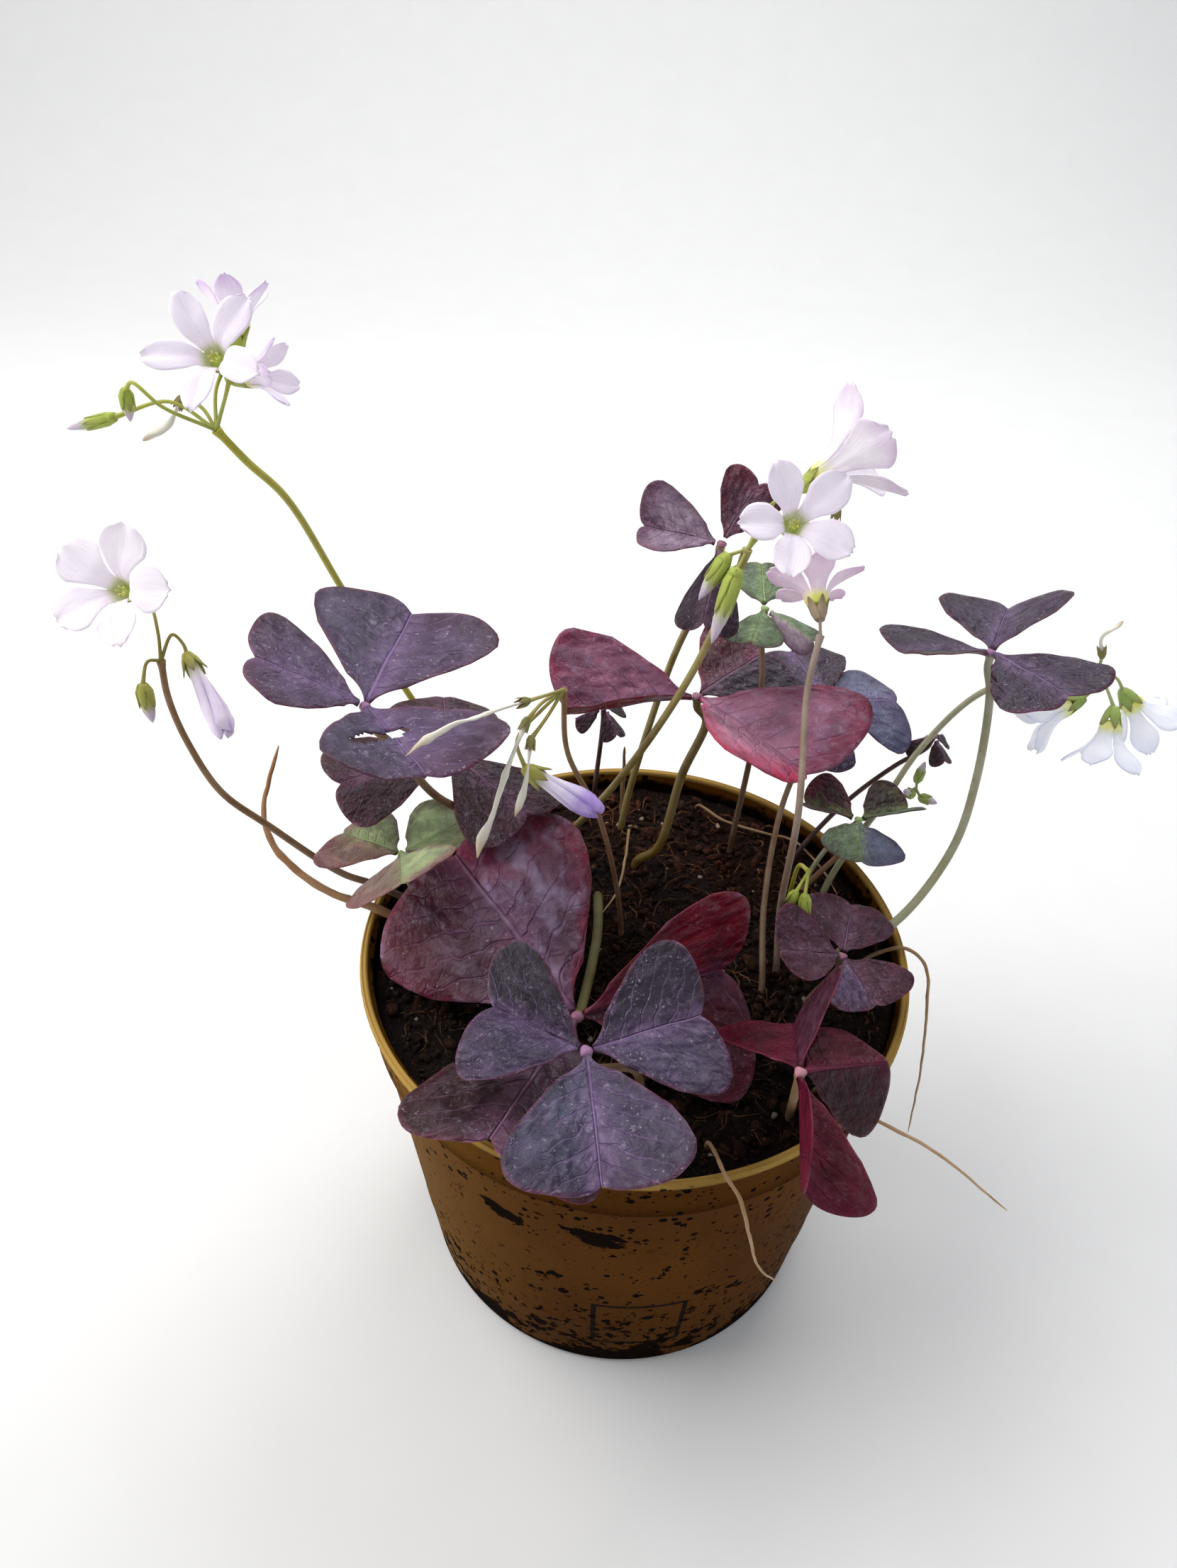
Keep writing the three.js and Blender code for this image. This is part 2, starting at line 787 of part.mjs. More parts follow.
const STALKS = [
  {
    name: "umbel_left_tall",
    foot: [-40, 38],
    via: [
      [-43, 42, 108], [-52, 51, 124], [-63, 58, 140], [-73, 55, 166], [-78, 36, 200],
      [-82, 26, 213], [-86, 24, 220],
    ],
    stem: 0.95,
    colour: "stem",
    heads: [
      {
        kind: "bloom",
        name: "facing",
        at: [-86, 34, 229],
        axis: [-0.1, -0.75, 0.65],
        length: 12.5,
        open: 78,
        turn: 8,
        via: [[-87, 31, 225]],
      },
      {
        kind: "bloom",
        name: "rear",
        at: [-85, 42, 230],
        axis: [0, 0.45, 0.9],
        length: 10,
        open: 38,
        turn: 20,
        via: [[-84, 34, 228]],
      },
      {
        kind: "bloom",
        name: "side",
        at: [-84, 35, 226],
        axis: [0.85, -0.1, 0.2],
        length: 8.5,
        open: 40,
        turn: 0,
        via: [[-85, 29, 224]],
      },
      {
        kind: "bud",
        at: [-106, 26, 221],
        axis: [-0.95, 0.1, -0.3],
        length: 11,
        radius: 1.2,
        via: [[-95, 27, 224]],
      },
      {
        kind: "bud",
        at: [-101, 22, 228],
        axis: [-0.1, 0.1, -1],
        length: 6.5,
        radius: 1.2,
        via: [[-94, 20, 226], [-99, 21, 230]],
      },
      {
        kind: "withered",
        at: [-93, 29, 224],
        limp: [[-96, 27, 220], [-101, 25, 217]],
        via: [[-89, 27, 223]],
      },
    ],
  },
  {
    name: "umbel_left_low",
    foot: [-50, 9],
    via: [
      [-62, 10, 111], [-71, 11, 114], [-87, 12, 128], [-96, 11, 139], [-102, 14, 150],
      [-104, 14, 163], [-104, 15, 172],
    ],
    stem: 0.9,
    colour: "brown",
    heads: [
      {
        kind: "bloom",
        name: "facing",
        at: [-110, 22, 184],
        axis: [-0.15, -0.75, 0.65],
        length: 13.5,
        open: 80,
        turn: 30,
        via: [[-104, 17, 178], [-106, 21, 182]],
      },
      {
        kind: "bloom",
        name: "nodding",
        at: [-99, 18, 170],
        axis: [0.5, -0.65, -0.55],
        length: 18,
        open: 0,
        turn: 10,
        via: [[-102, 19, 176], [-100.5, 20, 173]],
      },
      {
        kind: "bud",
        at: [-107, 10, 169],
        axis: [0.15, -0.3, -0.95],
        length: 8.5,
        radius: 1.7,
        via: [[-106, 13, 173]],
      },
    ],
  },
  {
    name: "umbel_centre",
    foot: [-21, 36],
    via: [[-15, 30, 115], [-5, 25, 135], [6, 20, 162], [12, 20, 178], [18, 21, 200]],
    stem: 0.95,
    colour: "stem",
    heads: [
      {
        kind: "bloom",
        name: "facing",
        at: [26, 23, 204],
        axis: [0.1, -0.75, 0.65],
        length: 12.5,
        open: 78,
        turn: 10,
        via: [[22, 25, 202]],
      },
      {
        kind: "bloom",
        name: "upper",
        at: [29, 28, 211],
        axis: [0.84, 0.3, 0.45],
        length: 19,
        open: 50,
        turn: 0,
        via: [[22, 26, 207]],
      },
      { kind: "bud", at: [14, 20, 199], axis: [-0.45, -0.15, -0.85], length: 11, radius: 1.6 },
      { kind: "bud", at: [16, 18, 197], axis: [-0.25, -0.3, -0.9], length: 16, radius: 1.9 },
      {
        kind: "withered",
        at: [36, 28, 206],
        limp: [[36, 27, 202], [36, 26, 199]],
        radius: 0.7,
        via: [[26, 32, 208], [33, 32, 210]],
      },
    ],
  },
  {
    name: "flower_pink",
    foot: [34, -4],
    via: [[33, -1, 118], [32.5, -2.5, 152], [35, 21, 166], [37.5, 29, 175]],
    stem: 0.85,
    colour: "petiole",
    heads: [
      {
        kind: "bloom",
        name: "rear",
        at: [37, 32, 179],
        axis: [-0.1, 0.85, 0.5],
        length: 11.5,
        open: 78,
        turn: 20,
      },
    ],
  },
  {
    name: "umbel_spent",
    foot: [-3, 6],
    via: [[-5, 7, 118], [-10, 7, 140], [-17, 6, 158], [-18, 4, 176]],
    stem: 0.7,
    colour: "brown",
    heads: [
      {
        kind: "withered",
        at: [-25, -3, 178],
        limp: [[-31, -8, 179], [-38, -14, 180], [-47, -22, 179]],
        radius: 0.55,
      },
      {
        kind: "withered",
        at: [-25, -4, 174],
        limp: [[-28, -10, 168], [-31, -17, 160], [-34, -21, 152]],
        radius: 0.8,
        via: [[-22, 1, 175]],
      },
      {
        kind: "withered",
        at: [-24, -6, 171],
        limp: [[-25, -11, 164], [-27, -14, 157]],
        radius: 0.7,
        via: [[-21, -1, 173]],
      },
      {
        kind: "bloom",
        name: "nodding",
        at: [-24, -7, 163],
        axis: [0.86, -0.13, -0.49],
        length: 16,
        open: 0,
        turn: 0,
        via: [[-22, 0, 174], [-27, -4, 169]],
      },
    ],
  },
  {
    name: "umbel_right",
    foot: [49, 23],
    via: [
      [55, 30, 110.5], [63, 38, 118], [72, 46, 131], [83, 45, 150], [95, 41, 158],
      [107, 41, 160],
    ],
    stem: 0.9,
    colour: "petiole",
    heads: [
      {
        kind: "bloom",
        name: "left",
        at: [104, 40, 152],
        axis: [-0.85, -0.1, -0.45],
        length: 12.5,
        open: 40,
        turn: 12,
        via: [[107, 40, 156]],
      },
      {
        kind: "bloom",
        name: "middle",
        at: [111, 35, 152],
        axis: [-0.1, -0.5, -0.85],
        length: 12,
        open: 50,
        turn: 0,
        via: [[109, 38, 157]],
      },
      {
        kind: "bloom",
        name: "right",
        at: [115, 40, 154],
        axis: [0.55, 0, -0.65],
        length: 11.5,
        open: 45,
        turn: 30,
        via: [[112, 41, 158]],
      },
      { kind: "withered", at: [106, 40, 165], limp: [[105, 41, 169], [110, 44, 172]], radius: 0.6 },
    ],
  },
  {
    name: "buds_right",
    foot: [46, 29],
    via: [[53, 35, 110], [63, 41, 113.5], [73, 44, 119]],
    stem: 0.7,
    colour: "stem",
    heads: [
      { kind: "bud", at: [73, 45, 121], axis: [0.2, 0.2, 1], length: 6, radius: 1.2 },
      { kind: "bud", at: [72, 43, 118], axis: [-0.6, -0.4, 0.6], length: 5, radius: 1.2 },
      { kind: "bud", at: [74, 42, 118], axis: [0.6, -0.6, 0.2], length: 5, radius: 1.2 },
    ],
  },
  {
    name: "buds_low",
    foot: [38, 14],
    via: [[38, 13, 112], [38, 9, 124], [39, 4, 127]],
    stem: 0.6,
    colour: "stem",
    heads: [
      { kind: "bud", at: [38, -1, 124], axis: [0.1, -0.3, -1], length: 8, radius: 1.3 },
      { kind: "bud", at: [36, 0, 124], axis: [-0.4, -0.3, -1], length: 6, radius: 1.1 },
    ],
  },
];

// ---- Bare stems and rootlets ----

const BARE_STEMS = [
  {
    name: "stem_dead_left",
    foot: [-50, 2],
    via: [[-62, 4, 109.5], [-74, 8, 110.5], [-88, 17, 115], [-92, 24, 121], [-90, 38, 131]],
    stem: 1.1,
    colour: "brown",
  },
  {
    name: "stem_bare_back",
    foot: [-3, 51],
    via: [[-3, 53, 112], [-3, 54, 122]],
    stem: 0.7,
    colour: "brown",
  },
  {
    name: "root_front",
    foot: [15, -52],
    via: [
      [16, -57, 106], [17, -63, 109], [20, -67.5, 107], [22, -68.5, 100], [28, -64, 74],
      [35, -58, 56],
    ],
    stem: 0.5,
    colour: "root",
  },
  {
    name: "root_right",
    foot: [55, -1],
    via: [
      [59, -1, 106], [64, -2, 108.5], [69, -4, 105], [71, -6, 96], [73, -11, 74], [73, -16, 54],
    ],
    stem: 0.5,
    colour: "root",
  },
  {
    name: "root_white",
    foot: [39, -38],
    via: [[41, -42, 106], [47, -49, 109.5], [60, -55, 107], [76, -62, 97]],
    stem: 0.5,
    colour: "root",
  },
  {
    name: "root_pale",
    foot: [-1, 43],
    via: [[-2, 31, 103.4], [-4, 20, 102.6], [-8.5, 10, 102.6]],
    stem: 0.4,
    colour: "root",
  },
  {
    name: "runner",
    foot: [18, 54],
    via: [[24.5, 47, 103.2], [35.5, 42, 103.4], [42.5, 40, 103.2], [49, 30, 102.8], [52, 21, 102.7]],
    stem: 0.4,
    colour: "root",
  },
];

function bareStem({ name, foot, via, stem, colour }) {
  return piece(name, bar(stemPoints(foot, via), stem, 5), COLOURS[colour], 0.8);
}

// ---- The plant ----

const plant = new THREE.Group();
const stems = [...LEAVES, ...STALKS, ...BARE_STEMS].map(({ foot, stem }) => {
  return { foot, radius: stem };
});
plant.add(pot(), soil(stems));
plant.add(...LEAVES.flatMap((leaf) => [petiole(leaf), blades(leaf)]));
plant.add(...STALKS.flatMap((flower) => [stalk(flower), ...blooms(flower)]));
plant.add(...BARE_STEMS.map(bareStem));

export default plant;
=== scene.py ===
# %% [markdown]
# # A purple shamrock in its nursery pot
# The solid part holds the plant's main shapes: a thin pot, the peat, folded three-part leaves and
# umbels of small flowers. This lesson dresses every one of those solids with a finer piece. We
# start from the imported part, so that each new piece lies exactly where its solid lies.

# %% The frame
import json
import math

import bmesh
import bpy
import numpy as np
from mathutils import Matrix, Vector, noise


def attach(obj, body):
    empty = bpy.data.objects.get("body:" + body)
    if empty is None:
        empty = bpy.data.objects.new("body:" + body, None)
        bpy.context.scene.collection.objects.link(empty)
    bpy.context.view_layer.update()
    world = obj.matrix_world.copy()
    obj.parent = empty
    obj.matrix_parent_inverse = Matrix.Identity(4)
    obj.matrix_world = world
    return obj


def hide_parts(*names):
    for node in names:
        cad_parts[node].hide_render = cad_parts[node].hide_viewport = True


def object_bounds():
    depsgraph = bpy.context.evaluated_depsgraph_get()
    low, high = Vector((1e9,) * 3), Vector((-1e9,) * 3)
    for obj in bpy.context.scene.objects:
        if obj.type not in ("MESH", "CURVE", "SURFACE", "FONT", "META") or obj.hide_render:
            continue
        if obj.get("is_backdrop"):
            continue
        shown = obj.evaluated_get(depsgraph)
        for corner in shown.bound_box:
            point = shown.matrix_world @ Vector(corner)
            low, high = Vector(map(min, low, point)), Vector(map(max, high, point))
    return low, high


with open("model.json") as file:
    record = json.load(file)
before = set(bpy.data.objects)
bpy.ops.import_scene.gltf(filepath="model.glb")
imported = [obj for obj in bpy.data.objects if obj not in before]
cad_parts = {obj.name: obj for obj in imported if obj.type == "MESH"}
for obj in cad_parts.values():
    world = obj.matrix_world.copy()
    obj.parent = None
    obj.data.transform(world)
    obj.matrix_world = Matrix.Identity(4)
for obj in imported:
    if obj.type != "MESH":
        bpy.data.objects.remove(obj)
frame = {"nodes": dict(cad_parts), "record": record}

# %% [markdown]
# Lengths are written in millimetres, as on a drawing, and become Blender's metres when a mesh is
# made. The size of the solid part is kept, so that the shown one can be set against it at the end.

MM = 0.001
cad_low, cad_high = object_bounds()
SLOT_OF = {row["node"]: row["material_slot"] for row in frame["record"]["subparts"]}
print("solid nodes:", len(frame["nodes"]))

# %% [markdown]
# ## The camera comes first
# The plant is looked down on from just in front of the pot, about as a person holds a phone. A
# camera is a point and three directions. We turn it by an elevation and a small roll, and give it
# the lens that shows the pot with the same perspective.

# %% Camera
ELEVATION = math.radians(40.46)
ROLL = math.radians(1.99)
EYE = (-12.3, -190.3, 316.8)
LENS = 27.03


def linked(name, data):
    """A new object in the scene, around a mesh, a camera or a lamp."""
    made = bpy.data.objects.new(name, data)
    bpy.context.collection.objects.link(made)
    return made


back = Vector((0, -math.cos(ELEVATION), math.sin(ELEVATION)))
right = Vector((1, 0, 0))
up = back.cross(right)
turned_right = math.cos(ROLL) * right + math.sin(ROLL) * up
turned_up = -math.sin(ROLL) * right + math.cos(ROLL) * up

camera_data = bpy.data.cameras.new("viewpoint")
camera_data.lens = LENS
camera_data.sensor_width = 36
camera_data.sensor_fit = "AUTO"
camera_data.clip_start = 0.01
camera = linked("viewpoint", camera_data)
camera.matrix_world = Matrix((
    (turned_right.x, turned_up.x, back.x, EYE[0] * MM),
    (turned_right.y, turned_up.y, back.y, EYE[1] * MM),
    (turned_right.z, turned_up.z, back.z, EYE[2] * MM),
    (0, 0, 0, 1),
))
bpy.context.scene.camera = camera
print("camera above the floor, m:", round(camera.matrix_world.translation.z, 3))

# %% [markdown]
# ## Meshes from numbers
# Leaves and petals are thin sheets, so most pieces here are a grid of points that gets a small
# thickness. A `Form` collects the points, faces and per-point values of everything that becomes one
# mesh. The values, such as a tint, stay on the mesh as attributes, and the materials read them.

# %% A collector for points, faces and attributes
def plain_mesh(name, points, faces, edges=()):
    """A linked mesh object from points in millimetres."""
    mesh = bpy.data.meshes.new(name)
    mesh.from_pydata((np.array(points, float) * MM).tolist(), edges, faces)
    return linked(name, mesh)


def smoothed(made):
    made.data.polygons.foreach_set("use_smooth", [True] * len(made.data.polygons))
    return made


def store(mesh, name, kind, field, values):
    layer = mesh.attributes.new(name, kind, "POINT")
    layer.data.foreach_set(field, np.ascontiguousarray(values, np.float32).ravel())


def store_tint(mesh, tints):
    store(mesh, "tint", "FLOAT_COLOR", "color", np.column_stack([tints, np.ones(len(tints))]))


class Form:
    """Points in millimetres, faces, and a tint, an underside mark and a place for every point."""

    def __init__(self):
        self.points, self.faces, self.tints, self.unders, self.places = [], [], [], [], []

    def add(self, points, faces, tint, under=0.0, place=(0.0, 0.0, 0.0)):
        start, count = len(self.points), len(points)
        self.points.extend(np.asarray(points, float).tolist())
        self.faces.extend(tuple(start + i for i in face) for face in faces)
        self.tints.extend(np.broadcast_to(np.asarray(tint, float), (count, 3)).tolist())
        self.unders.extend(np.broadcast_to(np.asarray(under, float), (count,)).tolist())
        self.places.extend(np.broadcast_to(np.asarray(place, float), (count, 3)).tolist())

    def piece(self, name, material):
        made = plain_mesh(name, self.points, self.faces)
        store_tint(made.data, np.clip(self.tints, 0, 1))
        store(made.data, "under", "FLOAT", "value", self.unders)
        store(made.data, "place", "FLOAT_VECTOR", "vector", self.places)
        made.data.materials.append(material)
        return smoothed(made)


def dress(made, node):
    """The piece rides with the pot and stands for its solid."""
    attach(made, "root")
    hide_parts(node)


# %% [markdown]
# A sheet has an upper face, a lower face and a rim. Each point moves half the thickness along the
# sheet's normal, and every edge that belongs to one face only gets a strip. The same function
# closes the rim of a leaf, and the rim of a torn hole in it.

# %% A closed sheet from a grid of points
def grid_faces(rows, columns):
    at = np.arange(rows * columns).reshape(rows, columns)
    return np.stack([at[:-1, :-1], at[1:, :-1], at[1:, 1:], at[:-1, 1:]], -1).reshape(-1, 4)


def sheet(points, quads, thickness):
    """Upper points, then lower points, and the faces that close them into one skin."""
    points = np.asarray(points, float)
    across = points[quads[:, 2]] - points[quads[:, 0]]
    along = points[quads[:, 3]] - points[quads[:, 1]]
    faced = np.cross(across, along)
    normals = np.zeros_like(points)
    for corner in range(4):
        np.add.at(normals, quads[:, corner], faced)
    normals /= np.maximum(np.linalg.norm(normals, axis=1, keepdims=True), 1e-9)
    half = np.asarray(thickness, float).reshape(-1, 1) / 2 * normals
    count = len(points)
    faces = quads.tolist() + (quads[:, ::-1] + count).tolist()
    sides = {(a, b) for quad in quads.tolist() for a, b in zip(quad, quad[1:] + quad[:1])}
    for a, b in sorted(sides):
        if (b, a) not in sides:
            faces.append([a, a + count, b + count, b])
    return np.vstack([points + half, points - half]), faces


def smoothstep(value, low, high):
    share = np.clip((value - low) / (high - low), 0, 1)
    return share * share * (3 - 2 * share)


def mix(first, second, share):
    """Between two tints, by a share for every point."""
    share = np.reshape(share, (-1, 1))
    return first * (1 - share) + second * share


def flat_grid(across, along):
    """Every pair of the two rows of steps, as two flat lists."""
    s, t = np.meshgrid(across, along)
    return s.ravel(), t.ravel()


def rgb(code):
    """A hex colour as linear red, green and blue."""
    parts = [int(code[i : i + 2], 16) / 255 for i in (1, 3, 5)]
    return np.array([c / 12.92 if c <= 0.04045 else ((c + 0.055) / 1.055) ** 2.4 for c in parts])


# %% [markdown]
# Stems bend in soft curves. A centripetal Catmull-Rom curve runs through every given point without
# loops, and it is the curve that the solid stems follow, so the finer stems stay inside them.

# %% Curves through points
def smooth_path(points, per_span=10):
    given = np.asarray(points, float)
    given = np.vstack([2 * given[0] - given[1], given, 2 * given[-1] - given[-2]])
    path = []
    for i in range(1, len(given) - 2):
        a, b, c, d = given[i - 1 : i + 3]
        ab, bc, cd = (max(np.linalg.norm(q - p) ** 0.5, 1e-4) for p, q in ((a, b), (b, c), (c, d)))
        leave = ((b - a) / ab - (c - a) / (ab + bc) + (c - b) / bc) * bc
        arrive = ((c - b) / bc - (d - b) / (bc + cd) + (d - c) / cd) * bc
        for u in np.linspace(0, 1, per_span, endpoint=False):
            path.append(
                (2 * u**3 - 3 * u**2 + 1) * b + (u**3 - 2 * u**2 + u) * leave
                + (-2 * u**3 + 3 * u**2) * c + (u**3 - u**2) * arrive
            )
    path.append(given[-2])
    return np.array(path)


def lumps(points, size, seed=0.0):
    """Smooth noise between -1 and 1 at each point; `size` is the width of a lump in mm."""
    return np.array([noise.noise(Vector(p) / size + Vector((seed, seed, seed))) for p in points])


# %% [markdown]
# Fibres, filaments and limp petals are closed strands: a ring of points is carried along a path, and
# the ends run together in one point each. The ring keeps its side from step to step, so the strand
# doesn't twist by itself.

# %% Closed strands along a path
def tube_faces(rows, sides):
    """A closed tube: the first point, then `rows` rings of `sides` points, then the last point."""
    last, top = 1 + rows * sides, 1 + (rows - 1) * sides
    faces = []
    for k in range(sides):
        after = (k + 1) % sides
        faces.append([0, 1 + after, 1 + k])
        faces.append([last, top + k, top + after])
        for low in range(1, top, sides):
            faces.append([low + k, low + after, low + sides + after, low + sides + k])
    return faces


def rope(path, radii, sides, flat=1.0, twist=0.0):
    """A closed round or flattened strand along a path."""
    path = np.asarray(path, float)
    heading = np.gradient(path, axis=0)
    heading /= np.linalg.norm(heading, axis=1, keepdims=True)
    side = np.cross(heading[0], (0, 0, 1) if abs(heading[0][2]) < 0.9 else (1, 0, 0))
    points = [path[0]]
    for i, (at, ahead, radius) in enumerate(zip(path, heading, radii)):
        side = side - ahead * np.dot(side, ahead)
        side /= np.linalg.norm(side)
        above = np.cross(ahead, side)
        for k in range(sides):
            angle = 2 * math.pi * k / sides
            around = (math.cos(angle), flat * math.sin(angle))
            c, s = math.cos(twist * i), math.sin(twist * i)
            a, b = around[0] * c - around[1] * s, around[0] * s + around[1] * c
            points.append(at + radius * (a * side + b * above))
    points.append(path[-1])
    return np.array(points), tube_faces(len(path), sides)


# %% [markdown]
# ## Shader helpers
# A material is a tree of nodes. `Wiring` adds a node and feeds its sockets in one go, with plain
# numbers or with the outputs of other nodes, so that a pattern reads as a short formula.

# %% Wiring of node trees
class Wiring:
    def __init__(self, tree):
        self.tree = tree

    def put(self, kind, feeds=None, **settings):
        node = self.tree.nodes.new(kind)
        for key, value in settings.items():
            setattr(node, key, value)
        for socket, value in (feeds or {}).items():
            self.feed(node.inputs[socket], value)
        return node

    def feed(self, socket, value):
        if isinstance(value, bpy.types.NodeSocket):
            self.tree.links.new(value, socket)
        elif socket.type == "RGBA" and len(value) == 3:
            socket.default_value = (*value, 1)
        else:
            socket.default_value = value

    def math(self, operation, *values, clamp=False):
        node = self.put("ShaderNodeMath", operation=operation, use_clamp=clamp)
        for socket, value in zip(node.inputs, values):
            self.feed(socket, value)
        return node.outputs[0]

    def times(self, *values, clamp=False):
        return self.math("MULTIPLY", *values, clamp=clamp)

    def plus(self, first, second):
        return self.math("ADD", first, second)

    def minus(self, first, second):
        return self.math("SUBTRACT", first, second)

    def scaled(self, value, factor, shift):
        return self.math("MULTIPLY_ADD", value, factor, shift)

    def absolute(self, value):
        return self.math("ABSOLUTE", value)

    def largest(self, first, *others):
        for other in others:
            first = self.math("MAXIMUM", first, other)
        return first

    def ease(self, value, low, high, start=0.0, end=1.0):
        feeds = {"Value": value, "From Min": low, "From Max": high, "To Min": start, "To Max": end}
        return self.put("ShaderNodeMapRange", feeds, interpolation_type="SMOOTHSTEP").outputs[0]

    def blend(self, factor, first, second, mode="MIX"):
        node = self.put("ShaderNodeMix", {0: factor, 6: first, 7: second}, data_type="RGBA")
        node.blend_type = mode
        return node.outputs[2]

    def dyed(self, colour, dye):
        return self.blend(1.0, colour, dye, "MULTIPLY")

    def noise(self, vector, scale, detail=2.0, roughness=0.5):
        feeds = {"Vector": vector, "Scale": scale, "Detail": detail, "Roughness": roughness}
        return self.put("ShaderNodeTexNoise", feeds).outputs[0]

    def cells(self, vector, scale, feature="F1"):
        feeds = {"Vector": vector, "Scale": scale}
        return self.put("ShaderNodeTexVoronoi", feeds, feature=feature).outputs["Distance"]

    def read(self, name, output="Fac"):
        return self.put("ShaderNodeAttribute", attribute_name=name).outputs[output]

    def parts(self, vector):
        return self.put("ShaderNodeSeparateXYZ", {0: vector}).outputs

    def vector(self, x, y, z):
        return self.put("ShaderNodeCombineXYZ", {0: x, 1: y, 2: z}).outputs[0]

    def spot(self):
        """The place on the object, in metres."""
        return self.put("ShaderNodeTexCoord").outputs["Object"]


# %% [markdown]
# A group of nodes is made once, with named inputs and outputs, and then placed in many materials.
# Each material keeps its own Principled shader, which the groups only feed. Fine relief is a bump:
# it bends the light and leaves the mesh alone.

# %% Groups, materials and relief
SOCKETS = {"float": "NodeSocketFloat", "colour": "NodeSocketColor", "vector": "NodeSocketVector"}


def shader_group(name, inputs, outputs):
    """A node group with named sockets: (wiring, its inputs, the node that takes its outputs)."""
    tree = bpy.data.node_groups.new(name, "ShaderNodeTree")
    for label, kind, value in inputs:
        socket = tree.interface.new_socket(label, in_out="INPUT", socket_type=SOCKETS[kind])
        if kind != "vector":
            socket.default_value = (*value, 1) if kind == "colour" else value
    for label, kind in outputs:
        tree.interface.new_socket(label, in_out="OUTPUT", socket_type=SOCKETS[kind])
    wires = Wiring(tree)
    return wires, wires.put("NodeGroupInput").outputs, wires.put("NodeGroupOutput").inputs


def finish(name, **constants):
    """A material with its Principled shader: (material, wiring, the shader's sockets)."""
    material = bpy.data.materials.new(name)
    material.use_nodes = True
    sockets = material.node_tree.nodes["Principled BSDF"].inputs
    for key, value in constants.items():
        sockets[key.replace("_", " ")].default_value = value
    return material, Wiring(material.node_tree), sockets


def relief(wires, sockets, height, depth, strength=1.0):
    """Raises the surface by up to `depth` millimetres where `height` is 1."""
    feeds = {"Strength": strength, "Distance": depth * MM, "Height": height}
    wires.feed(sockets["Normal"], wires.put("ShaderNodeBump", feeds).outputs["Normal"])


# %% [markdown]
# Dust, dried water and soil lie on the pot, the leaves and the stems alike, so they are one group.
# It breaks noise into scattered islands: `Cover` says how much of the surface they take, and `Edge`
# how soft their borders are.

# %% A shared group for scattered specks and stains
speck, given, taken = shader_group(
    "scattered_specks",
    [("Vector", "vector", None), ("Scale", "float", 300.0), ("Cover", "float", 0.4),
     ("Edge", "float", 0.05)],
    [("Mask", "float")],
)
grain = speck.noise(given["Vector"], given["Scale"], 4.0, 0.62)
low = speck.minus(0.72, given["Cover"])
speck.feed(taken["Mask"], speck.ease(grain, low, speck.plus(low, given["Edge"])))
SPECKS = speck.tree


def placed_group(wires, tree, feeds):
    node = wires.put("ShaderNodeGroup", node_tree=tree)
    for label, value in feeds.items():
        wires.feed(node.inputs[label], value)
    return node.outputs


def specks(wires, vector, scale, cover, edge=0.05):
    feeds = {"Vector": vector, "Scale": scale, "Cover": cover, "Edge": edge}
    return placed_group(wires, SPECKS, feeds)["Mask"]


# %% [markdown]
# ## The pot
# A nursery pot is a thin cup of ochre plastic. It tapers to the ground, steps out into a collar and
# ends in a rolled lip. It is round, so it is turned on a lathe: a half profile, swept around the
# axis, with every corner softened by a short bevel. The drain holes are cut out afterwards.

# %% Lathe
def lathe(profile, segments):
    """A closed skin of revolution. Profile points on the axis become single poles."""
    points, rings = [], []
    for radius, height in profile:
        if radius < 1e-6:
            rings.append([len(points)] * segments)
            points.append((0, 0, height))
        else:
            rings.append(list(range(len(points), len(points) + segments)))
            for i in range(segments):
                angle = 2 * math.pi * i / segments
                points.append((radius * math.cos(angle), radius * math.sin(angle), height))
    faces = []
    for lower, upper in zip(rings, rings[1:]):
        for i in range(segments):
            corners = [lower[i], lower[(i + 1) % segments], upper[(i + 1) % segments], upper[i]]
            face = list(dict.fromkeys(corners))
            if len(face) > 2:
                faces.append(face)
    return points, faces


def softened(profile, radius, steps=3):
    """The profile with each inner corner cut into a short arc."""
    out = [profile[0]]
    for before, corner, after in zip(profile, profile[1:], profile[2:]):
        before, corner, after = (np.array(p, float) for p in (before, corner, after))
        reach = min(radius, 0.4 * np.linalg.norm(before - corner), 0.4 * np.linalg.norm(after - corner))
        start = corner + (before - corner) / np.linalg.norm(before - corner) * reach
        end = corner + (after - corner) / np.linalg.norm(after - corner) * reach
        for u in np.linspace(0, 1, steps + 1):
            out.append(tuple((1 - u) ** 2 * start + 2 * u * (1 - u) * corner + u**2 * end))
    return out + [profile[-1]]


# %% [markdown]
# The half profile runs from the middle of the underside up the outer wall, over the rolled lip and
# down the inner wall. The measures are the solid's, so the shown pot has the same wall.

# %% The pot's own sizes
POT_HEIGHT, POT_BASE, POT_SHOULDER = 106, 53, 62
COLLAR_BOTTOM, COLLAR_RADIUS, RIM_RADIUS = 91, 63.4, 65
POT_WALL, POT_FLOOR = 1.4, 2.2
SOIL_TOP, SEAT = 100.5, 0.3
BAND_HEIGHT = 25  # a faint moulded line runs round the pot here
DRAIN_COUNT, DRAIN_RADIUS, DRAIN_RING = 6, 3.5, 40


def wall_radius(height):
    return POT_BASE + (POT_SHOULDER - POT_BASE) * (height - 1.2) / (COLLAR_BOTTOM - 2)


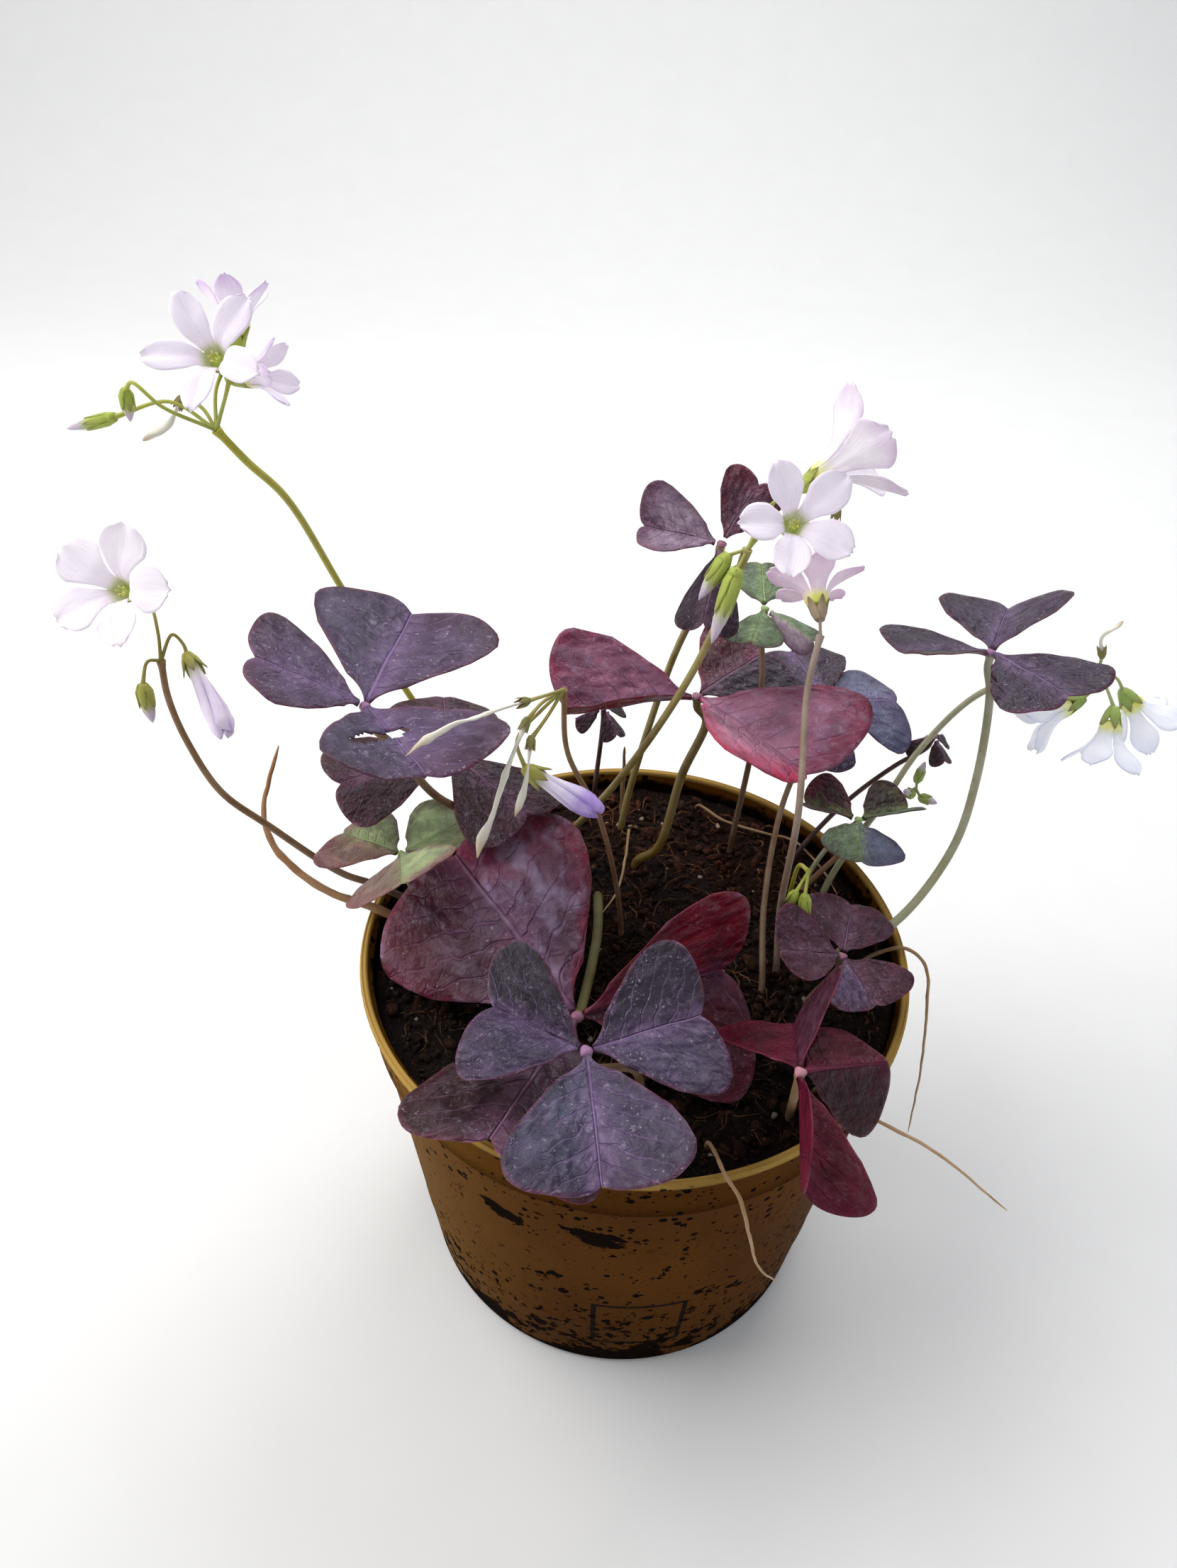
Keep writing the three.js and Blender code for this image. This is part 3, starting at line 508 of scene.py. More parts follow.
pot_profile = [(0, 0), (48, 0), (49, 0.5), (POT_BASE - 1.4, 0.5), (POT_BASE, 1.6)]
pot_profile += [
    (wall_radius(BAND_HEIGHT - 0.5), BAND_HEIGHT - 0.5),
    (wall_radius(BAND_HEIGHT) + 0.22, BAND_HEIGHT),
    (wall_radius(BAND_HEIGHT + 3) + 0.05, BAND_HEIGHT + 3),
    (POT_SHOULDER, COLLAR_BOTTOM - 0.8),
    (COLLAR_RADIUS - 0.3, COLLAR_BOTTOM),
    (COLLAR_RADIUS - 0.1, COLLAR_BOTTOM + 6),
    (COLLAR_RADIUS, POT_HEIGHT - 2.4),
    (RIM_RADIUS - 0.2, POT_HEIGHT - 2.1),
    (RIM_RADIUS, POT_HEIGHT - 1.2),
    (RIM_RADIUS - 0.5, POT_HEIGHT - 0.15),
    (RIM_RADIUS - 0.9, POT_HEIGHT - 0.5),
    (RIM_RADIUS - 1.3, POT_HEIGHT - 0.1),
    (RIM_RADIUS - 1.75, POT_HEIGHT - 0.35),
    (RIM_RADIUS - 2.1, POT_HEIGHT - 1.6),
    (COLLAR_RADIUS - POT_WALL, POT_HEIGHT - 2.6),
    (COLLAR_RADIUS - POT_WALL, COLLAR_BOTTOM + 0.6),
    (POT_SHOULDER - POT_WALL, COLLAR_BOTTOM - 1),
    (POT_BASE - POT_WALL, POT_FLOOR),
    (0, POT_FLOOR),
]
POT_TURNS = 160
pot_points, pot_faces = lathe(softened(pot_profile, 0.5), POT_TURNS)
print("pot faces:", len(pot_faces))


# %% [markdown]
# Water leaves through six round holes in the floor. A Boolean modifier takes a set of plugs away
# from the shell. The evaluated mesh is then kept, because a piece is best handed on as plain faces.

# %% Cutting the drain holes
def baked(made):
    """The evaluated object as a plain mesh; its modifiers are gone afterwards."""
    evaluated = made.evaluated_get(bpy.context.evaluated_depsgraph_get())
    mesh = bpy.data.meshes.new_from_object(evaluated)
    made.modifiers.clear()
    old, made.data = made.data, mesh
    bpy.data.meshes.remove(old)
    mesh.name = made.name
    return made


plug_points, plug_faces = [], []
for k in range(DRAIN_COUNT):
    angle = 2 * math.pi * (k + 0.5) / DRAIN_COUNT
    ring, faces = lathe([(0, -3), (DRAIN_RADIUS, -3), (DRAIN_RADIUS, 6), (0, 6)], 24)
    start = len(plug_points)
    shift = (DRAIN_RING * math.cos(angle), DRAIN_RING * math.sin(angle), 0)
    plug_points += (np.array(ring) + shift).tolist()
    plug_faces += [[start + i for i in face] for face in faces]
pot = plain_mesh("pot_shell", pot_points, pot_faces)
plugs = plain_mesh("drain_plugs", plug_points, plug_faces)
cut = pot.modifiers.new("drain_holes", "BOOLEAN")
cut.operation, cut.solver, cut.object = "DIFFERENCE", "EXACT", plugs
baked(pot)
bpy.data.objects.remove(plugs)
smoothed(pot)
pot.data.set_sharp_from_angle(angle=math.radians(40))

# %% [markdown]
# The plastic is matte ochre with a slight bloom. Years of watering left dark specks all over it, two
# thick smears under the rim, and a crust of soil along the ground. A printed frame near the foot is
# kept as a plain empty outline. Light and shade are painted into the ochre as well: painted light on
# the left side and on the top of the lip, painted shade towards the floor and under the collar. All
# of it is placed by height and by angle round the axis.

# %% Pot plastic
material, wires, sockets = finish("pot_plastic", Specular_IOR_Level=0.012)
spot = wires.spot()
x, y, z = (wires.times(part, 1 / MM) for part in wires.parts(spot))
radius = wires.math("SQRT", wires.plus(wires.times(x, x), wires.times(y, y)))
turn = wires.math("ARCTAN2", x, wires.times(y, -1.0))
cloud = wires.noise(spot, 28.0, 3.0)
fine = wires.noise(spot, 900.0, 3.0, 0.6)
ochre = wires.blend(wires.ease(cloud, 0.3, 0.7), rgb("#4a2904"), rgb("#5b3507"))
# Painted shade: the wall darkens towards the floor.
ochre = wires.blend(wires.ease(z, 85.0, 10.0, 0.0, 0.45), ochre, rgb("#381e04"))
ochre = wires.blend(wires.ease(fine, 0.4, 0.75, 0.0, 0.2), ochre, rgb("#69430e"))
rings = wires.noise(wires.vector(0.0, 0.0, z), 1.6, 2.0)
ochre = wires.blend(wires.ease(rings, 0.45, 0.7, 0.0, 0.22), ochre, rgb("#381f04"))
# Painted light: the left side of the wall, towards the lamps, is lighter.
ochre = wires.blend(wires.ease(x, -12.0, -58.0, 0.0, 0.5), ochre, rgb("#7d5716"))
# Painted highlight: the top of the rolled lip is lighter, where light falls on it.
lip = wires.times(wires.ease(z, 104.0, 105.2), wires.ease(radius, 62.8, 63.3))
lip = wires.times(lip, wires.ease(cloud, 0.3, 0.6, 0.65, 1.0))
ochre = wires.blend(lip, ochre, rgb("#b4924e"))
# Painted shade: the step under the collar is darker.
groove_shade = wires.absolute(wires.minus(z, float(COLLAR_BOTTOM)))
ochre = wires.blend(wires.ease(groove_shade, 1.0, 0.2, 0.0, 0.55), ochre, rgb("#2e1c08"))

# %% [markdown]
# A smear is an ellipse in the unrolled wall with a torn border: noise is added to its distance
# before the cut. Round dots of splashed soil come from cells, each with a radius that follows a
# slower noise, so that they gather in places.


# %% Dirt on the pot
WALL_AT_SMEARS, WALL_AT_FRAME = 60.0, 55.5  # how far the wall is from the axis there


def along_wall(angle, wall):
    """Millimetres along the wall from the line at an angle."""
    return wires.times(wires.minus(turn, math.radians(angle)), wall)


def smear(angle, height, wide, tall, seed):
    """A ragged patch of dried soil, `wide` and `tall` in millimetres."""
    across = along_wall(angle, WALL_AT_SMEARS)
    rise = wires.minus(z, wires.scaled(across, -0.22, height))
    squares = [
        wires.math("POWER", wires.math("DIVIDE", wires.absolute(way), half), 2.0)
        for way, half in ((across, wide), (rise, tall))
    ]
    ragged = wires.noise(wires.vector(across, wires.times(rise, 1.5), seed), 0.3, 4.0, 0.7)
    return wires.ease(wires.plus(wires.plus(*squares), wires.times(ragged, 4.4)), 3.15, 3.05)


def dots(scale, largest, gather, seed):
    """Round splashes: cells of one size, their radius set by a slower noise."""
    moved = wires.put("ShaderNodeVectorMath", {0: spot, 1: (seed, 0.3, 0.1)}).outputs[0]
    patch = wires.noise(moved, 75.0, 2.0, 0.6)
    reach = wires.ease(patch, gather, gather + 0.22, 0.0, largest)
    bent = wires.scaled(fine, 0.16, wires.cells(moved, scale))
    return wires.math("LESS_THAN", bent, wires.plus(reach, 0.06))


smears = wires.largest(smear(-27.8, 74.6, 5.6, 3.5, 3.0), smear(-6.8, 76.4, 7.0, 3.6, 9.0))
crust_edge = wires.scaled(wires.noise(spot, 70.0, 4.0, 0.6), 46.0, -16.5)
crust = wires.ease(wires.minus(z, crust_edge), 1.0, -1.4)
low_specks = specks(wires, spot, 330.0, wires.ease(z, 60.0, 0.0, 0.06, 0.19), 0.03)
big_specks = specks(wires, spot, 150.0, wires.ease(z, 84.0, 0.0, 0.05, 0.14), 0.02)
splashes = wires.largest(dots(210.0, 0.2, 0.42, 0.0), dots(420.0, 0.2, 0.38, 0.7))
high_splashes = wires.times(dots(300.0, 0.3, 0.36, 0.4), wires.ease(z, 66.0, 80.0))
dust = specks(wires, spot, 1400.0, 0.07, 0.08)
dirt = wires.largest(smears, crust, low_specks, big_specks, dust, splashes, high_splashes)
outside = wires.ease(radius, POT_BASE - 1.3, POT_BASE - 0.9)
dirt = wires.times(dirt, wires.times(outside, wires.ease(z, 105.4, 104.6)))
# The inner wall above the peat is darkened to the peat's colour, up to a torn line under the lip.
inner_dark = wires.times(wires.ease(radius, 63.3, 62.9), wires.ease(z, 90.0, 92.0))
inner_dark_edge = wires.scaled(wires.noise(spot, 160.0, 4.0, 0.7), 7.0, 99.6)
above_inner_dark = wires.minus(z, inner_dark_edge)
inner_dark = wires.times(inner_dark, wires.ease(above_inner_dark, 1.0, -0.6, 0.35, 1.0))
dirt = wires.largest(dirt, inner_dark)

# %% [markdown]
# The frame is a thin dark rectangle on the unrolled wall. Each place is so many millimetres past
# the upright sides and so many past the level ones, and the line is drawn where the larger of the
# two is nearly nothing. A print wears, so a fine noise takes a little of it away.

# %% The empty printed frame
FRAME_ANGLE, FRAME_WIDE, FRAME_LOW, FRAME_HIGH, FRAME_LINE = 4.5, 11.0, 14.5, 38.5, 0.8
across = wires.absolute(along_wall(FRAME_ANGLE, WALL_AT_FRAME))
rise = wires.absolute(wires.minus(z, (FRAME_LOW + FRAME_HIGH) / 2))
box = wires.largest(
    wires.minus(across, FRAME_WIDE), wires.minus(rise, (FRAME_HIGH - FRAME_LOW) / 2)
)
printed = wires.ease(wires.absolute(box), FRAME_LINE, FRAME_LINE * 0.6)
printed = wires.times(printed, wires.ease(fine, 0.25, 0.45, 0.88, 1.0))
ochre = wires.blend(printed, ochre, rgb("#130903"))
soil_colour = wires.blend(fine, rgb("#040201"), rgb("#190d07"))
wires.feed(sockets["Base Color"], wires.blend(dirt, ochre, soil_colour))
wires.feed(sockets["Roughness"], wires.ease(wires.plus(fine, dirt), 0.2, 1.2, 0.48, 0.9))
height = wires.scaled(dirt, 0.8, wires.times(fine, 0.12))
relief(wires, sockets, height, 0.35)
pot.data.materials.clear()
pot.data.materials.append(material)
dress(pot, "pot")

# %% [markdown]
# ## The peat
# Potting peat is dark, crumbly and never flat. Its top is a fine disc that two sizes of noise push
# up and down, and the rest of its body only closes it against the pot. Loose crumbs, fibres and
# white grains of perlite lie on it: those repeat, so Geometry Nodes scatter them.

# %% The body of the peat
def soil_height(px, py):
    """The peat's gentle waves: the same ones as in the solid."""
    radius = np.hypot(px, py) / (COLLAR_RADIUS - POT_WALL)
    waves = np.sin(0.21 * px + 1.3) * np.cos(0.17 * py) + 0.6 * np.sin(0.11 * (px + 2 * py))
    return SOIL_TOP + 0.8 * waves * (1 - radius**4)


def humps(ground):
    """Small humps that the peat's top has, and that all loose pieces lie on."""
    return 1.5 * lumps(ground, 7.0)


SOIL_RADIUS = COLLAR_RADIUS - POT_WALL - SEAT
SOIL_RINGS, SOIL_TURNS = 62, 200
soil_profile = [
    (0, POT_FLOOR + SEAT),
    (POT_BASE - POT_WALL - SEAT, POT_FLOOR + SEAT),
    (POT_SHOULDER - POT_WALL - SEAT, COLLAR_BOTTOM - 1),
    (SOIL_RADIUS, COLLAR_BOTTOM + 0.9),
]
soil_profile += [(SOIL_RADIUS * (1 - i / SOIL_RINGS), SOIL_TOP) for i in range(SOIL_RINGS)]
soil_profile += [(0, SOIL_TOP)]
soil_points, soil_faces = lathe(soil_profile, SOIL_TURNS)
soil_points = np.array(soil_points)
on_top = soil_points[:, 2] > SOIL_TOP - 0.01
flat = soil_points[on_top]
rough = humps(flat) + 0.9 * lumps(flat, 2.6, 5.0) + 0.5 * lumps(flat, 1.2, 9.0)
hollow = 1.5 * smoothstep(np.hypot(flat[:, 0] - 22, flat[:, 1] + 22), 26, 8)
soil_points[on_top, 2] = soil_height(flat[:, 0], flat[:, 1]) + rough - hollow
soil = smoothed(plain_mesh("peat", soil_points, soil_faces))
print("peat faces:", len(soil_faces))

# %% [markdown]
# Wet peat is nearly black and brown on its crumbs, and it has no shine. The gaps between the crumbs
# are painted darker, as painted shade. Every loose piece gets the same finish with tones of its own,
# so one function makes them all. Cells give the crumbs, and fine noise lightens them. The far side
# is painted a little paler, as painted light.

# %% Peat finish
def peat_finish(name, dark, light, bump):
    material, wires, sockets = finish(name, Specular_IOR_Level=0.15)
    spot = wires.spot()
    crumb = wires.cells(spot, 700.0)
    grain = wires.noise(spot, 1500.0, 4.0, 0.7)
    patch = wires.noise(spot, 60.0, 3.0)
    # Painted light: the far side of the peat is paler, the front darker.
    far_side_light = wires.ease(wires.parts(spot)[1], -0.02, 0.045)
    light = wires.blend(far_side_light, light, light * (1.9, 1.6, 1.5))
    mixed = wires.ease(wires.scaled(grain, 0.6, wires.times(patch, 0.5)), 0.35, 0.7)
    colour = wires.blend(mixed, dark, light)
    # Painted shade: the gaps between the crumbs are darker.
    colour = wires.blend(wires.ease(crumb, 0.1, 0.7, 0.0, 0.6), colour, dark)
    fleck = specks(wires, spot, 900.0, 0.1, 0.04)
    wires.feed(sockets["Base Color"], wires.blend(fleck, colour, rgb("#5c3b28")))
    wires.feed(sockets["Roughness"], wires.ease(patch, 0.35, 0.65, 0.72, 0.95))
    relief(wires, sockets, wires.minus(grain, crumb), bump)
    return material


PEAT = peat_finish("peat", rgb("#070403"), rgb("#26160f"), 0.8)
soil.data.materials.append(PEAT)
dress(soil, "soil")


# %% [markdown]
# One small tree scatters any set of shapes over a surface. Its inputs are the number of pieces for
# each square metre, their smallest and largest size and a seed. The points come from the surface,
# each takes one of the shapes, turned and sized at random, and the result is made real geometry.

# %% A scatter tree
def tree_of(name, inputs):
    tree = bpy.data.node_groups.new(name, "GeometryNodeTree")
    tree.interface.new_socket("Geometry", in_out="INPUT", socket_type="NodeSocketGeometry")
    for label, kind in inputs:
        tree.interface.new_socket(label, in_out="INPUT", socket_type="NodeSocket" + kind)
    tree.interface.new_socket("Geometry", in_out="OUTPUT", socket_type="NodeSocketGeometry")
    tree.is_modifier = True
    wires = Wiring(tree)
    return wires, wires.put("NodeGroupInput").outputs, wires.put("NodeGroupOutput").inputs


def coat(wires, given, taken, shape):
    """The end of each tree: instances become real, and the material is set."""
    real = wires.put("GeometryNodeRealizeInstances", {0: shape}).outputs[0]
    feeds = {"Geometry": real, "Material": given["Material"]}
    wires.feed(taken["Geometry"], wires.put("GeometryNodeSetMaterial", feeds).outputs[0])


def grown(made, tree, **values):
    """Runs a tree on an object and leaves the plain mesh it makes."""
    modifier = made.modifiers.new(tree.name, "NODES")
    modifier.node_group = tree
    for socket in tree.interface.items_tree:
        if socket.in_out == "INPUT" and socket.name in values:
            modifier[socket.identifier] = values[socket.name]
    return baked(made)


wires, given, taken = tree_of("scatter_shapes", [
    ("Density", "Float"), ("Smallest", "Float"), ("Largest", "Float"), ("Lean", "Float"),
    ("Seed", "Int"), ("Shapes", "Collection"), ("Material", "Material"),
])
seed = given["Seed"]
spread = wires.put("GeometryNodeDistributePointsOnFaces", {
    "Mesh": given["Geometry"], "Density": given["Density"], "Seed": seed}).outputs
shapes = wires.put("GeometryNodeCollectionInfo", {
    "Collection": given["Shapes"], "Separate Children": True, "Reset Children": True}).outputs[0]
size = wires.put("FunctionNodeRandomValue", {
    2: given["Smallest"], 3: given["Largest"], "Seed": seed}, data_type="FLOAT").outputs[1]
lean = given["Lean"]
lean_back = wires.times(lean, -1.0)
spin = wires.put("FunctionNodeRandomValue", {
    0: wires.vector(lean_back, lean_back, 0.0), 1: wires.vector(lean, lean, 2 * math.pi),
    "Seed": seed}, data_type="FLOAT_VECTOR").outputs[0]
spin = wires.put("FunctionNodeEulerToRotation", {0: spin}).outputs[0]
turned = wires.put("FunctionNodeRotateRotation", {
    0: spread["Rotation"], 1: spin}, rotation_space="LOCAL").outputs[0]
placed = wires.put("GeometryNodeInstanceOnPoints", {
    "Points": spread["Points"], "Instance": shapes, "Pick Instance": True, "Rotation": turned,
    "Scale": size}).outputs[0]
coat(wires, given, taken, placed)
SCATTER = wires.tree


# %% [markdown]
# Crumbs and perlite are balls that noise has crumpled, and a fibre is a thin bent strand. Each is
# modelled once, with few faces, because the tree repeats it hundreds of times. The shapes are
# linked to a collection that isn't in the scene, so none of them shows by itself.

# %% Shapes that lie on the peat
def lump_shape(name, seed, stretch, detail):
    """A crumpled ball about 1 mm across."""
    mesh = bpy.data.meshes.new(name)
    ball = bmesh.new()
    bmesh.ops.create_icosphere(ball, subdivisions=detail, radius=0.5)
    for vertex in ball.verts:
        push = 1 + 0.55 * noise.noise(vertex.co * 2.4 + Vector((seed, 0, 0)))
        vertex.co = Vector([at * push * wide for at, wide in zip(vertex.co, stretch)]) * MM
    ball.to_mesh(mesh)
    ball.free()
    return smoothed(bpy.data.objects.new(name, mesh))


def fibre_shape(name, seed, length, thick, bend):
    """A thin curved sliver that lies along X."""
    shares = np.linspace(0, 1, 6)
    path = [
        (length * (u - 0.5), bend * math.sin(math.pi * u) + 0.3 * math.sin(7 * u + seed),
         0.25 + 0.5 * math.sin(math.pi * u) * (seed % 2))
        for u in shares
    ]
    made = plain_mesh(name, *rope(path, [thick * (1 - 0.6 * abs(2 * u - 1)) for u in shares], 4))
    bpy.context.collection.objects.unlink(made)
    return made


def shape_set(name, shapes):
    group = bpy.data.collections.new(name)
    for shape in shapes:
        group.objects.link(shape)
    return group


crumb_set = shape_set("crumb_shapes", [
    lump_shape("crumb_a", 1.0, (1.3, 1.0, 0.8), 2), lump_shape("crumb_b", 4.0, (1.0, 0.8, 0.6), 1),
    lump_shape("crumb_c", 7.0, (1.8, 0.7, 0.5), 1),
])
fibre_set = shape_set("fibre_shapes", [
    fibre_shape("fibre_a", 1, 6.0, 0.14, 1.2), fibre_shape("fibre_b", 2, 9.0, 0.16, -2.2),
    fibre_shape("fibre_c", 3, 4.0, 0.22, 0.5),
])
perlite_set = shape_set("perlite_shapes", [
    lump_shape("perlite_a", 2.0, (1.1, 1.0, 0.9), 2), lump_shape("perlite_b", 9.0, (0.9, 1.2, 0.8), 2),
])


# %% [markdown]
# The pieces are strewn over a sheet that follows the peat's humps a quarter of a millimetre higher.
# The sheet itself vanishes, as the tree only passes on what it strewed. Crumbs come in two sizes:
# many small dark ones, and a few larger nuggets in a paler brown.

# %% Scattering them
STREWN_RADIUS, STREWN_LIFT, STREWN_STEPS = SOIL_RADIUS - 2.5, 0.25, 60


def scattered(name, shapes, material, **values):
    steps = np.linspace(-STREWN_RADIUS, STREWN_RADIUS, STREWN_STEPS)
    x, y = flat_grid(steps, steps)
    ground = np.column_stack([x, y, np.full(len(x), SOIL_TOP)])
    field = np.column_stack([x, y, soil_height(x, y) + humps(ground) + STREWN_LIFT])
    quads = grid_faces(STREWN_STEPS, STREWN_STEPS)[:, ::-1]
    centres = field[quads].mean(1)
    quads = quads[np.hypot(centres[:, 0], centres[:, 1]) < STREWN_RADIUS]
    surface = plain_mesh(name, field, quads.tolist())
    grown(surface, SCATTER, Shapes=shapes, Material=material, **values)
    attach(surface, "root")
    print(name, "triangles:", sum(len(p.vertices) - 2 for p in surface.data.polygons))


CRUMB = peat_finish("peat_crumbs", rgb("#0b0605"), rgb("#321e14"), 0.3)
NUGGET = peat_finish("peat_nuggets", rgb("#120a07"), rgb("#45291b"), 0.4)
FIBRE = peat_finish("peat_fibres", rgb("#2a1a11"), rgb("#7d5a3c"), 0.05)
PERLITE = peat_finish("perlite", rgb("#6f675c"), rgb("#a59c8e"), 0.1)
scattered("peat_crumbs", crumb_set, CRUMB, Density=170000.0, Smallest=0.7, Largest=2.4,
          Lean=1.2, Seed=3)
scattered("peat_nuggets", crumb_set, NUGGET, Density=21000.0, Smallest=2.0, Largest=4.2,
          Lean=1.2, Seed=14)
scattered("peat_fibres", fibre_set, FIBRE, Density=52000.0, Smallest=0.5, Largest=1.25,
          Lean=0.4, Seed=8)
scattered("perlite", perlite_set, PERLITE, Density=7000.0, Smallest=0.5, Largest=1.5,
          Lean=1.0, Seed=5)

# %% [markdown]
# ## Stems
# Petioles, stalks and rootlets are all thin round strands that follow a path. A tree turns a chain
# of points into a curve and sweeps a circle along it. Every point carries its own thickness and
# tint, so a stem can swell at a joint and change colour on its way up.

# %% A stem tree
wires, given, taken = tree_of("swept_stem", [("Sides", "Int"), ("Material", "Material")])
curve = wires.put("GeometryNodeMeshToCurve", {"Mesh": given["Geometry"]}).outputs[0]
circle = wires.put("GeometryNodeCurvePrimitiveCircle", {
    "Resolution": given["Sides"], "Radius": MM}).outputs[0]
thickness = wires.put("GeometryNodeInputNamedAttribute", {
    "Name": "thickness"}, data_type="FLOAT").outputs[0]
swept = wires.put("GeometryNodeCurveToMesh", {
    "Curve": curve, "Profile Curve": circle, "Scale": thickness, "Fill Caps": True}).outputs[0]
coat(wires, given, taken, swept)
STEM_TREE = wires.tree


# %% [markdown]
# The skin of a stalk is smooth and juicy: light enters it a little way, so it has some subsurface
# scattering. Fine streaks run up its length, which is noise on a place that is squeezed in Z. The
# tint along the stem comes from its points.

# %% Stem finish
def stem_finish(name, roughness, specular):
    """Smooth juicy skin with faint lengthwise streaks and a little dust."""
    material, wires, sockets = finish(name, Specular_IOR_Level=specular, Subsurface_Weight=0.08,
                                      Subsurface_Scale=0.001)
    spot = wires.spot()
    tint = wires.read("tint", "Color")
    x, y, z = wires.parts(spot)
    long_spot = wires.vector(x, y, wires.times(z, 0.12))
    streak = wires.noise(long_spot, 900.0, 2.0, 0.5)
    patch = wires.noise(spot, 160.0, 3.0, 0.6)
    darker = wires.dyed(tint, (0.82, 0.77, 0.68))
    lighter = wires.blend(0.07, tint, (0.8, 0.76, 0.62))
    colour = wires.blend(wires.ease(patch, 0.35, 0.65), darker, lighter)
    colour = wires.blend(wires.ease(streak, 0.3, 0.7, 0.0, 0.35), colour, tint)
    speck_mask = specks(wires, spot, 1500.0, 0.06, 0.05)
    wires.feed(sockets["Base Color"], wires.blend(speck_mask, colour, rgb("#4c3527")))
    wires.feed(sockets["Roughness"], wires.ease(patch, 0.2, 0.8, roughness, roughness + 0.2))
    relief(wires, sockets, streak, 0.025)
    return material


STEM_SKINS = {
    slot: stem_finish(slot, *values)
    for slot, values in {
        "stem_olive": (0.42, 0.45),
        "stem_tan": (0.45, 0.45),
        "stem_brown": (0.5, 0.4),
        "rootlet": (0.65, 0.3),
    }.items()
}

# %% [markdown]
# A stem changes tone on its way up, so each kind has three tints. The points of all strands of one
# piece go into one mesh of edges, each with its thickness and tint, and the tree sweeps them.

# %% Stem tints and a stem piece
STEM_TINTS = {  # at the peat, half way up, at the top
    "stem": ("#74651a", "#a9a128", "#bab836"),
    "petiole": ("#553d2c", "#74583c", "#8a7258"),
    "brown": ("#5a4430", "#80603f", "#8c6d48"),
    "sage": ("#88865f", "#adad90", "#b0b09a"),
    "olive": ("#4a4418", "#6c6628", "#7e7834"),
    "khaki": ("#7a6524", "#8f7f45", "#a3985a"),
    "gold": ("#75611f", "#796526", "#6b5826"),
    "ashen": ("#665042", "#8d7869", "#a39184"),
    "dusky": ("#37201e", "#472926", "#55302f"),
    "dry": ("#7a5632", "#8d6236", "#9a6c40"),
    "root": ("#7d6148", "#a3835f", "#b59a76"),
}


def strand_tints(colour, count):
    stops = np.array([rgb(code) for code in STEM_TINTS[colour]])
    share = np.linspace(0, 1, count)
    return np.stack([np.interp(share, (0, 0.5, 1), stops[:, k]) for k in range(3)], 1)


def stem_piece(name, strands, slot, sides=14):
    """`strands` holds (points, thickness, tint) for every path."""
    points, edges, thick, tints = [], [], [], []
    for path, radii, tint in strands:
        start = len(points)
        points.extend(path.tolist())
        edges.extend((start + i, start + i + 1) for i in range(len(path) - 1))
        thick.extend(np.broadcast_to(radii, (len(path),)).tolist())
        tints.extend(np.broadcast_to(tint, (len(path), 3)).tolist())
    made = plain_mesh(name, points, [], edges)
    store(made.data, "thickness", "FLOAT", "value", thick)
    store_tint(made.data, tints)
    return smoothed(grown(made, STEM_TREE, Sides=sides, Material=STEM_SKINS[slot]))


STEM_FOOT = 6  # how deep a stem stands in the peat


def rising(foot, via):
    """A stem stands upright in the peat and then passes through the given points."""
    return [(*foot, SOIL_TOP - STEM_FOOT), (*foot, SOIL_TOP + 1.5), *via]


def taper(count, radius, foot_swell=0.18, thin=0.82):
    """Thickness from foot to top: a slight swell at the peat, then an even taper."""
    share = np.linspace(0, 1, count)
    return radius * (1 - (1 - thin) * share + foot_swell * np.exp(-((share / 0.12) ** 2)))


# %% [markdown]
# ## Leaves
# A shamrock leaf is three heart-like leaflets on one joint. Each leaflet folds along its midrib,
# each lobe by its own angle, and it droops and ripples a little. The formula is the solid's own, on
# a much finer grid: `s` runs across the leaflet, `t` from the joint to the notched edge.

